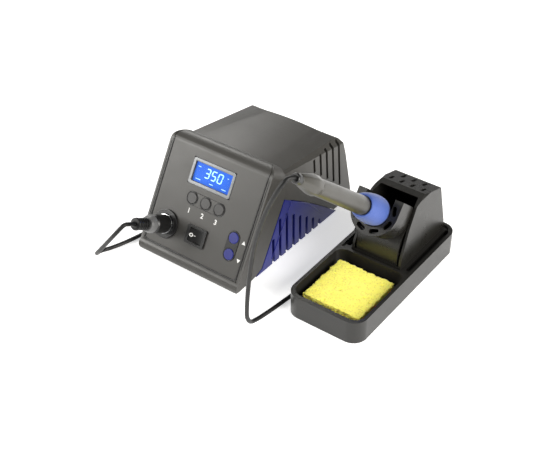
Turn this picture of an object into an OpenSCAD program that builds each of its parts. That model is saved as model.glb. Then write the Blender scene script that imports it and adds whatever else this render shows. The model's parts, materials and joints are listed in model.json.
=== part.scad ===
// Soldering iron station with its stand, iron and lead. Millimetres, +Z up, the table at z = 0.
// The station faces -Y, the stand is on its right. The origin is the middle of the footprint.

/* [Station] */
// Width of the station
station_w = 120; // [112:1:146]
// Depth of the station on the table
station_d = 191; // [176:1:230]
// Place of the station's middle and lip, from the origin
station_at = [-64, -78];
// Wall of the plastic shells
wall = 2.6; // [2:0.1:3.4]
// Height of the rubber feet under the station
foot_h = 2; // [1.5:0.1:4]

/* [Front panel] */
// Lean of the front panel, in degrees
panel_tilt = 30.8; // [26:0.2:34]
// Length of the panel's flat, from the lip to the roll at its top
panel_len = 103; // [100:1:124]
// Height of the lip where the panel starts
lip_h = 10; // [8:0.5:14]
// Radius of the roll at the top
roll_r = 12; // [10:0.5:15]
// Thickness of the panel plate
panel_t = 2.6; // [2:0.1:3]
// Width left for the frame on each side of the panel
frame_w = 4.2; // [4:0.1:6]
// Groove between the panel and its frame
groove = 0.7; // [0.4:0.1:1]
// Depth of the frame's side, measured along Y
side_depth = 38; // [34:1:44]

/* [Controls] */
// Size of the display's frame
lcd_frame_size = [49.5, 25.5];
// Opening in the display's frame
lcd_view_size = [43.4, 19];
// Middle of the display on the panel
lcd_at = [-2, 83];
// Radius of a round button
button_r = 5.3; // [4:0.1:6]
// Gap round a button in its hole
button_gap = 0.3; // [0.2:0.05:0.5]
// Distance between the preset buttons
preset_pitch = 16; // [14:0.5:18]
// Height of the preset buttons on the panel
preset_v = 58; // [56:0.5:60]
// Middle of the two arrow buttons
arrow_at = [40.3, 31.5];
// Distance between the arrow buttons
arrow_pitch = 16; // [14:0.5:18]
// Travel of every button
button_travel = 0.8; // [0.5:0.1:1]
// Size of the power switch's bezel
switch_size = [22.5, 18.4];
// Middle of the power switch
switch_at = [0.5, 25.5];
// Half of the rocker's throw, in degrees
rocker_half = 12; // [8:1:14]
// Middle of the iron's socket
socket_at = [-36, 24.5];
// Radius of the socket's flange
socket_r = 14; // [12:0.2:15]

/* [Stand] */
// Place of the stand's middle and front, from the origin
stand_at = [84.5, -70.5];
// Width of the tray
tray_w = 78.6; // [72:1:96]
// Length of the tray
tray_l = 175; // [171:1:210]
// Height of the tray's rim
tray_h = 24.5; // [20:0.5:30]
// Width of the tray's rim
rim_w = 3.4; // [2.5:0.1:4.5]
// Height of the deck behind the sponge
deck_z = 22.5; // [18:0.5:23]
// Floor of the sponge's recess
recess_z = 9; // [7:0.5:12]
// Length and width of the sponge
sponge_size = [62, 61.5, 9];
// Width of the holder at the deck
holder_w = 53; // [50:1:58]
// Wall of the holder
holder_wall = 2.4; // [2:0.1:3]

/* [Iron] */
// Rise of the resting iron, in degrees
iron_rise = 40.2; // [36:0.2:44]
// Distance from the iron's tail to the ring that it rests in
ring_s = 160; // [150:1:170]
// Height of the ring's middle over the table
ring_z = 82.8; // [80:0.5:86]
// Distance from the tray's front to the ring's middle
ring_y = 82.7; // [80:0.5:86]
// Largest radius of the grip
grip_r = 14; // [12:0.2:14.4]
// Gap between the grip and the ring
ring_gap = 0.6; // [0.4:0.1:1]
// Length of the grip
grip_l = 44; // [38:1:46]
// Radius of the handle where the grip starts
handle_r = 8.6; // [8:0.1:9.4]
// Radius of the barrel
barrel_r = 4.4; // [4:0.1:5]
// Length of the barrel that shows
barrel_l = 42; // [36:1:44]
// Length of the tip that shows
tip_l = 20; // [16:1:22]

/* [Lead] */
// Diameter of the iron's lead
lead_d = 4; // [3.6:0.1:4.4]
// Radius of the coil at the middle of its turns
coil_r = 23; // [22:0.5:26]

/* [Hidden] */
$fn = 48;
fit = 0.3;
hw = station_w / 2;
lip_d = 3;
crease = [lip_d, lip_h];
front_t = panel_t + 2.4;
dir_up = [sin(panel_tilt), cos(panel_tilt)];
dir_in = [cos(panel_tilt), -sin(panel_tilt)];
roll_start = crease + panel_len * dir_up;
roll_c = roll_start + roll_r * dir_in;
roll_end = 24;
panel_w = station_w - 2 * frame_w;
rear_lean = 9.2;
top_z = roll_c[1] + roll_r;

// ---------- frames and shared shapes ----------

module in_station() {
    translate([station_at[0], station_at[1], 0]) children();
}

// local X to the right, Y up the panel from the crease, Z out of the panel
module on_panel(at = [0, 0], out = 0) {
    in_station() translate([0, crease[0], crease[1]]) rotate([90 - panel_tilt, 0, 0])
        translate([at[0], at[1], out]) children();
}

module in_stand() {
    translate([stand_at[0], stand_at[1], 0]) children();
}

// local Z runs from the iron's tail to its tip
module in_iron(s = 0) {
    in_stand() translate([0, ring_y, ring_z]) rotate([-(90 + iron_rise), 0, 0])
        translate([0, 0, s - ring_s]) children();
}

// a plate in the YZ plane, drawn as [y, z] and as wide as w in X
module across(w) {
    rotate([90, 0, 90]) linear_extrude(w, center = true) children();
}

module rounded_rect(size, r) {
    square([size[0] - 2 * r, size[1]], center = true);
    square([size[0], size[1] - 2 * r], center = true);
    for (i = [-1, 1], j = [-1, 1])
        translate([i * (size[0] / 2 - r), j * (size[1] / 2 - r)]) circle(r);
}

module rounded_block(size, r) {
    linear_extrude(size[2]) rounded_rect([size[0], size[1]], r);
}

module screw(r, l) {
    difference() {
        union() {
            cylinder(r = r, h = l);
            translate([0, 0, -1.6]) cylinder(r = 2 * r, h = 1.6);
        }
        for (a = [0, 90]) rotate(a) translate([-r, -0.3, -2]) cube([2 * r, 0.6, 1.4]);
    }
}

function arc(c, r, a0, a1, n) =
    [for (i = [0 : n]) c + r * [cos(a0 + (a1 - a0) * i / n), sin(a0 + (a1 - a0) * i / n)]];

// ---------- the slanted front frame ----------

// outline of the front as far as depth in from the skin: up the panel and over the roll
function skin(depth, start) = concat(
    [crease + start * dir_up + depth * dir_in],
    arc(roll_c, roll_r - depth, 180 - panel_tilt, roll_end, 12)
);

rim_back = roll_c + roll_r * [cos(roll_end), sin(roll_end)];
side_top = [crease[0] + (top_z * 0.63 - lip_h) * tan(panel_tilt) + side_depth, top_z * 0.63];
side_low = [crease[0] + side_depth - 2, 7];
toe_y = 21;
side_edge = [rim_back, [rim_back[0] - 1, side_top[1] + 7], side_top, side_low, [toe_y + 9, 2], [toe_y, foot_h]];

module front_profile() {
    polygon(concat([[9, foot_h], [2, foot_h - 1], [0.6, foot_h - 0.4], [0, foot_h + 1.4], [0, lip_h - 4]],
                   [[0.9, lip_h - 1.4], crease], skin(0, 1), side_edge));
}

// the front seen square to the panel, which rounds the corners
module front_outline(w, r) {
    v0 = -16;
    v1 = panel_len + roll_r;
    on_panel([0, (v0 + v1) / 2], -120) linear_extrude(160) rounded_rect([w, v1 - v0], r);
}

module panel_strip(w, extra) {
    intersection() {
        in_station() across(w)
            polygon(concat(skin(-1, 2 - extra), [for (p = skin_back(extra)) p]));
        front_outline(w, 9);
    }
}

function skin_back(extra) = [
    for (i = [len(skin(panel_t, 2)) - 1 : -1 : 0]) skin(panel_t, 2 - extra)[i]
];

module front_bezel() {
    color("#3a3937")
    difference() {
        intersection() {
            in_station() across(station_w) front_profile();
            front_outline(station_w, 12);
        }
        in_station() across(station_w - 2 * wall) polygon(concat(
            [crease + dir_in * front_t + dir_up * (5 - lip_h)], skin(front_t, 2),
            [[rim_back[0] + 30, rim_back[1] - front_t], [rim_back[0] + 30, wall + foot_h]],
            [[crease[0] + 14, wall + foot_h]]));
        panel_strip(panel_w + 2 * groove, 0.4);
        on_panel([0, (8 + panel_len - 8) / 2], -front_t - 1)
            linear_extrude(20) rounded_rect([panel_w - 10, panel_len - 16], 5);
        for (x = [-1, 1]) side_recess(x, fit);
        in_station() for (x = [-1, 1]) translate([x * (hw - 16), toe_y + 4, foot_h - 2])
            cylinder(r = 1.6, h = 8);
    }
}

module front_panel() {
    color("#4b4a48")
    difference() {
        intersection() {
            panel_strip(panel_w, 0);
            in_station() across(station_w) polygon(concat(skin(0, 1), [rim_back + [0, -12], [20, 20]]));
        }
        on_panel(lcd_at, -5) linear_extrude(10) square(lcd_frame_size + [0.4, 0.4], center = true);
        for (i = [-1 : 1]) on_panel([i * preset_pitch, preset_v], -5)
            cylinder(r = button_r + button_gap, h = 10);
        on_panel([0, preset_v], -0.7) pill_ring(preset_pitch * 2, button_r + 1.5, 0.9);
        on_panel(arrow_at, -5) rotate(90) pill(arrow_pitch, button_r + 1.5, 10);
        on_panel(switch_at, -5) rounded_block([switch_size[0] - 2, switch_size[1] - 2, 10], 1);
        on_panel(socket_at, -5) cylinder(r = socket_r - 2.5, h = 10);
    }
}

module pill(span, r, h) {
    for (i = [-1, 1]) translate([i * span / 2, 0, 0]) cylinder(r = r, h = h);
    translate([-span / 2, -r, 0]) cube([span, 2 * r, h]);
}

module pill_ring(span, r, t) {
    difference() {
        pill(span, r, 3);
        translate([0, 0, -1]) pill(span, r - t, 5);
    }
}

// ---------- the housing behind the front ----------

// half widths and heights of the housing's section at a distance y behind the lip
function at_y(y, a, b) = a + (b - a) * (y - 30) / (station_d - 30);
function base_half(y) = at_y(y, hw - 0.4, hw + 1.6);
function low_crease(y) = [at_y(y, hw - 1.6, hw - 3), at_y(y, 94, 71)];
function high_crease(y) = [at_y(y, hw - 2.4, hw - 9.6), at_y(y, 101.2, 78.2)];
function crown(y) = high_crease(y)[1] + 3.6;
function rear_y(z) = station_d - z * tan(rear_lean);

// one slice of the housing, drawn in [x, z] and shrunk by inset on every side
function half_slice(y, inset) = concat(
    [[base_half(y) - inset, 0]],
    [low_crease(y) - inset * [1, 0.3]], [high_crease(y) - inset * [0.7, 0.8]],
    [for (k = [0.75, 0.5, 0.25, 0])
        [k * (high_crease(y)[0] - inset), high_crease(y)[1] + (crown(y) - high_crease(y)[1]) * (1 - k * k) - inset]]
);

module slice(y, inset) {
    pts = half_slice(y, inset);
    translate([0, y, 0]) rotate([90, 0, 0]) linear_extrude(0.05)
        polygon(concat(pts, [for (i = [len(pts) - 2 : -1 : 0]) [-pts[i][0], pts[i][1]]]));
}

module housing(inset) {
    slope = tan(rear_lean);
    intersection() {
        hull() {
            slice(10, inset);
            slice(station_d - inset, inset);
        }
        across(station_w + 40) polygon([
            [5, -1], [rear_y(0) + slope - inset, -1],
            [rear_y(60) - inset, 60], [rear_y(74) - inset - 1.2, 74], [rear_y(79) - inset - 3.4, 79],
            [rear_y(82) - inset - 9, 83], [rear_y(82) - inset - 9, 120], [5, 120]
        ]);
        rear_round(inset);
    }
}

// rounds the two upright rear corners
module rear_round(inset) {
    r = 9;
    w = station_w + 3.2 - 2 * inset;
    translate([-100, -60, -1]) cube([200, station_d - 28 + 60, 130]);
    translate([0, station_d - inset, -1]) rotate([rear_lean, 0, 0])
        translate([0, -25, -10]) linear_extrude(150) {
            translate([0, 12]) rounded_rect([w, 50 - 24 + 2 * r - 8], r);
            translate([-w / 2, -20]) square([w, 28]);
        }
}

// everything behind the slanted front, with gap to it
module behind_front(gap) {
    across(station_w + 60) polygon([
        [rim_back[0] + gap, 140], rim_back + [gap, 0], side_edge[1] + [gap, 0], side_top + [gap, 0],
        side_low + [gap, 0], [toe_y + 9 + gap, 2], [toe_y + gap, 0], [toe_y + gap, -5], [260, -5], [260, 140]
    ]);
}

// outline of the blue side panel in [y, z]: toe, slanted front edge and falling top edge
blue_top = [side_top[0] + 0.6, side_top[1]];
blue_end = [station_d * 0.83, 5];
module blue_outline(grow) {
    rise = blue_top[1] - blue_end[1];
    run = blue_end[0] - blue_top[0];
    polygon(concat(
        [[toe_y - grow, -3], [toe_y - grow, foot_h + grow], [toe_y + 9 - grow, foot_h + 1 + grow]],
        [side_low + [0.6 - grow, 0], blue_top + [-grow, grow]],
        [for (k = [0.2 : 0.2 : 1]) blue_top + [k * run + grow, -k * rise + 10 * k * (1 - k) + grow]],
        [[blue_end[0] + 4 + grow, foot_h], [blue_end[0] + 4 + grow, -3]]
    ));
}

module side_recess(side, gap) {
    in_station() intersection() {
        across(station_w * 2) blue_outline(gap);
        translate([side * (hw + 12), 0, 0]) cube([30, 500, 240], center = true);
    }
}

rib_pitch = 10.7;
rib_y0 = 57;
module blue_slots() {
    for (i = [0 : 7]) {
        y = rib_y0 + i * rib_pitch;
        front = side_low[1] + (y - side_low[0]) * (side_top[1] - side_low[1]) / (side_top[0] - side_low[0]);
        back = blue_top[1] - (y - blue_top[0]) * (blue_top[1] - blue_end[1]) / (blue_end[0] - blue_top[0]);
        top = min(front - 6, back - 14);
        if (top > foot_h + 4)
            translate([-10, y - 1.7, foot_h - 1]) cube([20, 3.4, top - foot_h]);
    }
}

module side_panel(side) {
    color("#2b3d9b")
    intersection() {
        in_station() difference() {
            intersection() {
                housing(-0.7);
                behind_front(0.2);
                across(station_w * 2) blue_outline(-fit);
                translate([side * 100, station_d / 2, 60 + foot_h]) cube([200, 400, 120], center = true);
            }
            housing(wall);
            translate([side * hw, 0, 0]) blue_slots();
        }
        in_station() translate([side * (hw + 2), 0, 0]) cube([2 * (wall + 4.4), 600, 300], center = true);
    }
}
module side_panel_left() { side_panel(-1); }
module side_panel_right() { side_panel(1); }

vent_pitch = 10.8;
module vent_slots() {
    for (side = [-1, 1], i = [0 : 4]) {
        y = station_d * 0.66 + i * vent_pitch;
        low = 67 - i * 9.4;
        translate([side * hw, y, 0]) {
            translate([0, 0, (low + 96) / 2]) cube([16, 3.4, 96 - low], center = true);
        }
    }
}

module top_cover() {
    color("#403f3c")
    in_station() difference() {
        intersection() {
            housing(0);
            behind_front(0.2);
            translate([-100, 0, foot_h + 3.2]) cube([200, 300, 200]);
        }
        housing(wall);
        intersection() {
            vent_slots();
            translate([-100, 0, 0]) cube([200, 300, high_crease(station_d * 0.8)[1] - 2]);
        }
        for (side = [-1, 1]) intersection() {
            across(station_w * 2) blue_outline(0);
            translate([side * (hw + 6), 0, 0]) cube([24, 500, 240], center = true);
        }
        rear_opening(0);
    }
}

rear_size = [station_w - 26, 50];
module on_rear(out = 0) {
    in_station() translate([0, station_d, 0]) rotate([90 - rear_lean, 0, 180])
        translate([0, 0, out]) children();
}

module rear_opening(gap) {
    translate([0, station_d, 0]) rotate([90 - rear_lean, 0, 180]) translate([0, 32, -wall - 2])
        linear_extrude(wall + 8) rounded_rect(rear_size - [2 * gap, 2 * gap], 4);
}

inlet_at = [-14, 30];
module rear_panel() {
    color("#33322f")
    difference() {
        on_rear(-wall) translate([0, 32, 0]) linear_extrude(wall) rounded_rect(rear_size - [0.4, 0.4], 3.8);
        on_rear(-wall - 1) translate(inlet_at) linear_extrude(wall + 2) square([27.4, 31.4], center = true);
        on_rear(-1) for (i = [0 : 5]) translate([12 + i * 5, 20, -2]) cube([2.2, 24, 6]);
    }
}

module base_pan() {
    color("#2d2c2a")
    in_station() difference() {
        union() {
            intersection() {
                housing(0);
                behind_front(0.2);
                translate([-100, 0, foot_h]) cube([200, 300, 3]);
                translate([-hw + wall + 2.6, 0, 0]) cube([station_w - 2 * wall - 5.2, 300, 300]);
            }
            intersection() {
                translate([0, station_d - 12, foot_h + 1.5]) cube([station_w - 24, 16, 3], center = true);
                housing(0);
            }
            for (p = board_posts) translate([p[0], p[1], foot_h + 2]) cylinder(r = 3, h = 6);
        }
        for (p = foot_spots) translate([p[0], p[1], foot_h - 1]) cylinder(r = 1.6, h = 8);
        for (p = board_posts) translate([p[0], p[1], foot_h + 3]) cylinder(r = 1.05, h = 8);
        for (x = [-30 : 5 : 30]) translate([x, station_d * 0.42, foot_h - 1]) cube([2.4, 22, 8], center = true);
    }
}

foot_spots = [for (x = [-1, 1], y = [60, station_d - 24]) [x * (hw - 20), y]];
module station_feet() {
    color("#1b1b1b")
    in_station() {
        for (p = foot_spots) translate([p[0], p[1], 0]) foot();
        for (x = [-1, 1]) translate([x * (hw - 16), toe_y + 4, 0]) foot();
    }
}

// a rubber foot with a stem pressed into the base
module foot() {
    cylinder(r = 6, h = foot_h);
    translate([0, 0, foot_h]) cylinder(r = 1.5, h = 2.4);
}

module case_screws() {
    color("#8a8c8e")
    on_rear(0) for (p = [[-rear_size[0] / 2 + 6, 12], [rear_size[0] / 2 - 6, 12],
                         [-rear_size[0] / 2 + 6, 52], [rear_size[0] / 2 - 6, 52]])
        translate([p[0], p[1], 1.6]) rotate([180, 0, 0]) intersection() {
            screw(1.4, 1.6);
            translate([0, 0, -1.6]) cylinder(r = 3, h = 3.2);
        }
}

// ---------- display and buttons ----------

module lcd_frame() {
    color("#b9bcbf")
    difference() {
        on_panel(lcd_at, -panel_t) union() {
            rounded_block([lcd_frame_size[0], lcd_frame_size[1], panel_t + 0.6], 2.4);
        }
        on_panel(lcd_at, -panel_t - 1) linear_extrude(9) square(lcd_view_size, center = true);
        on_panel(lcd_at, -1.2) linear_extrude(1) square(lcd_view_size + [2, 2], center = true);
    }
}

module lcd_window() {
    color("#9fc4ee", 0.4)
    on_panel(lcd_at, -1.1) linear_extrude(0.8) square(lcd_view_size + [1.6, 1.6], center = true);
}

module lcd_module() {
    color("#1f5fe0")
    on_panel(lcd_at, -panel_t - 5.2) {
        linear_extrude(5) square(lcd_frame_size - [2, 2], center = true);
        translate([0, 0, 5]) linear_extrude(1.2) square(lcd_view_size - [0.4, 0.4], center = true);
    }
}

// a button with a collar behind the panel; stem is what it presses the switch with
module round_button(at, tint) {
    color(tint)
    on_panel(at, 0) {
        translate([0, 0, -panel_t - 1.4]) cylinder(r = button_r, h = panel_t + 2.4);
        translate([0, 0, -panel_t - 1.4]) cylinder(r = button_r + 1, h = 1.2);
        translate([0, 0, -panel_t - 3.4]) cylinder(r = 1.5, h = 2.2);
    }
}
module button_1() { round_button([-preset_pitch, preset_v], "#343331"); }
module button_2() { round_button([0, preset_v], "#343331"); }
module button_3() { round_button([preset_pitch, preset_v], "#343331"); }
module button_up() { round_button(arrow_at + [0, arrow_pitch / 2], "#3246b4"); }
module button_down() { round_button(arrow_at - [0, arrow_pitch / 2], "#3246b4"); }

module arrow_surround() {
    color("#161616")
    difference() {
        on_panel(arrow_at, -panel_t) rotate(90) pill(arrow_pitch, button_r + 1.35, panel_t + 0.5);
        for (i = [-1, 1]) on_panel(arrow_at + [0, i * arrow_pitch / 2], -5)
            cylinder(r = button_r + button_gap, h = 10);
    }
}

board_out = -panel_t - 9.4;
switch_spots = concat([for (i = [-1 : 1]) [i * preset_pitch, preset_v]],
                      [for (i = [-1, 1]) arrow_at + [0, i * arrow_pitch / 2]]);
module tact_switches() {
    color("#222222")
    for (p = switch_spots) on_panel(p, board_out) {
        translate([0, 0, 2.2]) cube([6, 6, 4.4], center = true);
        cylinder(r = 1.7, h = 9.4 - 3.4 - button_travel - 0.3);
    }
}

module control_board() {
    color("#1f6a3a")
    on_panel([0, 0], board_out - 1.6) difference() {
        union() {
            translate([-panel_w / 2 + 7.8, 49, 0]) cube([panel_w - 14, 45, 1.6]);
            translate([27, 16, 0]) cube([panel_w / 2 - 7 - 27, 40, 1.6]);
        }
        for (x = [-44, 42]) translate([x, 90, -1]) cylinder(r = 1.5, h = 4);
    }
}

module switch_housing() {
    color("#1c1c1c")
    difference() {
        union() {
            on_panel(switch_at, 0) rounded_block([switch_size[0], switch_size[1], 1.6], 1.6);
            on_panel(switch_at, -15) rounded_block([switch_size[0] - 2.6, switch_size[1] - 2.6, 15.2], 0.8);
            for (x = [-1, 1]) on_panel(switch_at + [x * 5, 0], -23) cube([0.8, 4.8, 16.2], center = true);
        }
        on_panel(switch_at, -10.5) translate([0, 0, 10]) cube([15.4, 13.3, 20], center = true);
        on_panel(switch_at, -1.5) rotate([90, 0, 0]) cylinder(r = 1.05, h = 15.4, center = true);
    }
}

module power_rocker() {
    color("#232323")
    difference() {
        on_panel(switch_at, -1.5) rotate([0, rocker_half, 0]) rotate([90, 0, 0])
            linear_extrude(12.6, center = true)
            polygon([[-7.1, 3.5], [0, 2.1], [7.1, 3.5], [6.9, -1.2], [3, -5], [-3, -5], [-6.9, -1.2]]);
        on_panel(switch_at, -1.5) rotate([90, 0, 0]) cylinder(r = 1.05, h = 20, center = true);
    }
}

module rocker_pin() {
    color("#9a9ca0")
    on_panel(switch_at, -1.5) rotate([90, 0, 0]) cylinder(r = 1, h = 15, center = true);
}

// ---------- the iron's socket and plug ----------

module socket_flange() {
    color("#181818")
    difference() {
        union() {
            on_panel(socket_at, 0) cylinder(r = socket_r, h = 2.4);
            on_panel(socket_at, -9) cylinder(r = socket_r - 2.8, h = 9.5);
        }
        on_panel(socket_at, -10) cylinder(r = socket_r - 4.4, h = 20);
    }
}

module socket_ring() {
    color("#c9ccd0")
    difference() {
        on_panel(socket_at, -9) cylinder(r = socket_r - 4.5, h = 13.4);
        on_panel(socket_at, -10) cylinder(r = socket_r - 6, h = 20);
    }
}

pin_circle = 4;
module socket_insert() {
    color("#20201f")
    difference() {
        on_panel(socket_at, -9) cylinder(r = socket_r - 6.1, h = 5);
        for (a = [0 : 72 : 288]) on_panel(socket_at, -7)
            rotate(a) translate([pin_circle, 0, 0]) cylinder(r = 0.75, h = 6);
    }
}

plug_out = 4.6;
module plug_body() {
    color("#1a1a1a")
    on_panel(socket_at, 0) {
        translate([0, 0, plug_out]) cylinder(r = socket_r - 5, h = 17);
        translate([0, 0, plug_out + 17]) cylinder(r1 = socket_r - 5, r2 = socket_r - 6.6, h = 2.4);
        translate([0, 0, -3.6]) cylinder(r = socket_r - 6.3, h = plug_out + 3.6);
    }
}

module plug_collar() {
    color("#6a6a6a")
    on_panel(socket_at, plug_out + 19.4) cylinder(r = socket_r - 6.8, h = 4);
}

boot_out = plug_out + 23.4;
boot_l = 28;
module plug_boot() {
    color("#242424")
    on_panel(socket_at, boot_out) difference() {
        union() {
            cylinder(r1 = 5.6, r2 = 3.3, h = boot_l);
            for (i = [0 : 4]) translate([0, 0, 2 + i * 5]) cylinder(r = 6.2 - i * 0.55, h = 2.6);
        }
        translate([0, 0, boot_l - 3]) cylinder(r = lead_d / 2, h = 4);
    }
}

// ---------- inside the station ----------

core_size = [62, 34, 50];
core_gap = 10.4;
core_at = [wall - hw + core_gap + core_size[0] / 2, station_d * 0.68, foot_h + 5];
module transformer_core() {
    color("#777a7d")
    in_station() translate(core_at) difference() {
        translate([-core_size[0] / 2, -core_size[1] / 2, 0]) cube(core_size);
        for (x = [-1, 1]) translate([x * core_size[0] * 0.25, 0, core_size[2] / 2])
            cube([core_size[0] / 6, core_size[1] + 2, core_size[2] * 0.66], center = true);
    }
}

module transformer_winding() {
    color("#b3722c")
    in_station() translate(core_at + [0, 0, core_size[2] / 2]) difference() {
        cube([core_size[0] * 0.66, core_size[1] + 16, core_size[2] * 0.64], center = true);
        cube([core_size[0] * 0.34 + 0.2, core_size[1] + 0.4, core_size[2]], center = true);
        for (x = [-1, 1]) translate([x * core_size[0] * 0.25, 0, 0])
            difference() {
                cube([core_size[0] / 6 + 0.4, core_size[1] + 0.2, core_size[2]], center = true);
                cube([core_size[0] / 6 - 0.4, core_size[1] + 1, core_size[2]], center = true);
            }
    }
}

module transformer_bracket() {
    color("#a9adb0")
    in_station() translate(core_at) difference() {
        union() {
            translate([0, 0, -0.8]) cube([core_size[0] + 22, 14, 1.2], center = true);
            translate([0, 0, core_size[2] + 0.8]) cube([core_size[0] + 3.2, 14, 1.2], center = true);
            for (x = [-1, 1]) translate([x * (core_size[0] / 2 + 1), 0, core_size[2] / 2])
                cube([1.2, 14, core_size[2] + 2.8], center = true);
        }
        for (x = [-1, 1]) translate([x * (core_size[0] / 2 + 7), 0, -3]) cylinder(r = 1.7, h = 6);
    }
}

board_at = [hw - 18, station_d * 0.58];
board_size = [24, 70];
board_posts = [for (x = [-1, 1], y = [-1, 1]) board_at + [x * (board_size[0] / 2 - 4), y * (board_size[1] / 2 - 4)]];
board_z = foot_h + 8;
module power_board() {
    color("#1f6a3a")
    in_station() difference() {
        translate([board_at[0] - board_size[0] / 2, board_at[1] - board_size[1] / 2, board_z])
            cube([board_size[0], board_size[1], 1.6]);
        for (p = board_posts) translate([p[0], p[1], board_z - 1]) cylinder(r = 1.6, h = 4);
    }
}

module heat_sink() {
    color("#b8bbbe")
    in_station() translate([board_at[0], board_at[1] + 16, board_z + 1.6]) {
        translate([0, 0, 10]) cube([2, 22, 20], center = true);
        for (i = [-2 : 2]) translate([0, i * 4.8, 11]) cube([10, 1.2, 18], center = true);
    }
}

module capacitor() {
    color("#27357a")
    in_station() translate([board_at[0], board_at[1] - 16, board_z + 1.6]) cylinder(r = 6.5, h = 21);
}

inlet_w = 27;
module mains_inlet() {
    color("#151515")
    difference() {
        union() {
            on_rear(0) translate(inlet_at) linear_extrude(1.6) rounded_rect([31, 36], 2);
            on_rear(-18) translate(inlet_at) linear_extrude(18.1) square([inlet_w, 31], center = true);
        }
        on_rear(-14) translate(inlet_at + [0, -5]) linear_extrude(20) square([24, 16.4], center = true);
        on_rear(-14) translate(inlet_at + [0, 10]) linear_extrude(20) square([20.6, 7], center = true);
    }
    color("#b08d57")
    on_rear(-15) translate(inlet_at + [0, -2.5]) for (x = [-7, 0, 7])
        translate([x, x == 0 ? -1.6 : 0, 5.5]) cube([1.6, 3.4, 12], center = true);
}

module fuse_drawer() {
    color("#202020")
    on_rear(-13.6) translate(inlet_at + [0, 10]) {
        translate([0, 0, 6.8]) cube([20, 6.4, 13.6], center = true);
        translate([0, 0, 15.2]) cube([20, 6.4, 3.4], center = true);
    }
}

// ---------- the stand ----------

recess_y = [rim_w + 1.4, 84];
hood_y0 = recess_y[1] + 5;
hood_len = tray_l - rim_w - hood_y0 - 0.6;
pocket_l = hood_len - 7;
pocket_y = hood_y0 + hood_len / 2;
module tray_outline(inset, h) {
    translate([0, tray_l / 2, 0]) rounded_block([tray_w - 2 * inset, tray_l - 2 * inset, h], 14 - inset);
}

module tray_base() {
    color("#3b3a38")
    in_stand() difference() {
        translate([0, 0, 1]) tray_outline(0, tray_h - 1);
        // the sponge's recess, open at the top
        translate([0, (recess_y[0] + recess_y[1]) / 2, recess_z])
            rounded_block([tray_w - 2 * rim_w, recess_y[1] - recess_y[0], tray_h], 10);
        // the deck behind it
        intersection() {
            translate([0, 0, deck_z]) tray_outline(rim_w, tray_h);
            translate([-60, recess_y[1] + 2.4, 0]) cube([120, 200, 60]);
        }
        // the long pockets beside the holder
        for (x = [-1, 1]) translate([x * (holder_w / 2 + 5.6), pocket_y, deck_z - 5])
            rounded_block([4.8, pocket_l, 20], 2.3);
        // hollow underneath
        difference() {
            translate([0, 0, -1]) tray_outline(rim_w, deck_z - 3.6);
            translate([-60, -1, recess_z - 2.6]) cube([120, recess_y[1] + 3.6, 40]);
            for (x = [-1, 1]) translate([x * (holder_w / 2 + 5.6), pocket_y, deck_z - 7.4])
                rounded_block([9, pocket_l + 5, 20], 4);
            for (p = stand_screw_spots) translate([p[0], p[1], 4]) cylinder(r = 4.6, h = 40);
            for (p = stand_foot_spots) translate([p[0], p[1], 1]) cylinder(r = 4, h = 40);
        }
        for (p = stand_screw_spots) translate([p[0], p[1], 0]) {
            cylinder(r = 1.7, h = 40);
            translate([0, 0, -1]) cylinder(r = 3.3, h = deck_z - 6);
        }
        for (p = stand_foot_spots) translate([p[0], p[1], 0]) cylinder(r = 1.5, h = 5);
    }
}

stand_foot_spots = [for (x = [-1, 1], y = [17, tray_l - 17]) [x * (tray_w / 2 - 12), y]];
module stand_feet() {
    color("#1b1b1b")
    in_stand() for (p = stand_foot_spots) translate([p[0], p[1], 0]) {
        cylinder(r = 5, h = 1);
        translate([0, 0, 1]) cylinder(r = 1.45, h = 3);
    }
}

stand_screw_spots = [for (x = [-1, 1], y = [hood_y0 + 16, hood_y0 + 66]) [x * 14, y]];
module holder_screws() {
    color("#8a8c8e")
    in_stand() for (p = stand_screw_spots) translate([p[0], p[1], deck_z - 7]) screw(1.5, 11);
}

module sponge() {
    color("#e6d95c")
    in_stand() translate([0, (recess_y[0] + recess_y[1]) / 2 + 1, recess_z])
        rounded_block([sponge_size[0], sponge_size[1], sponge_size[2]], 2);
}

// side view of the holder in [y, z]: foot, slanted front, mouth, top plate, rear wall
hood_top = [[hood_y0 + 25.5, deck_z + 56], [hood_y0 + 42, deck_z + 60.4], [hood_y0 + 70, deck_z + 52.4]];
function hood_front() = [[hood_y0, deck_z], [hood_y0 + 2.2, deck_z + 10.5], [hood_y0 + 14, deck_z + 37.5]];
function hood_side() = concat(hood_front(), hood_top, [[hood_y0 + hood_len, deck_z]]);

// the holder seen from the front: it narrows a little towards the top
module hood_taper(inset) {
    half = holder_w / 2;
    translate([0, 300, 0]) rotate([90, 0, 0]) linear_extrude(400) polygon([
        [-half + inset, deck_z - 1], [half - inset, deck_z - 1], [half - 2 - inset, deck_z + 58 - inset],
        [half - 4.4 - inset, deck_z + 61 - inset], [-half + 4.4 + inset, deck_z + 61 - inset],
        [-half + 2 + inset, deck_z + 58 - inset]
    ]);
}

slot_size = [3, 8.6];
slot_pitch = 11.4;
module tip_slots() {
    mid = (hood_top[1] + hood_top[2]) / 2;
    fall = atan2(hood_top[1][1] - hood_top[2][1], hood_top[2][0] - hood_top[1][0]);
    translate([0, mid[0], mid[1]]) rotate([-fall, 0, 0]) for (row = [0, 1], i = [0 : 3 - row])
        translate([(i - 1.5 + row / 2) * slot_pitch, (row - 0.5) * 13, -8])
            rounded_block([slot_size[0], slot_size[1], 16], 1.2);
}

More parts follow.
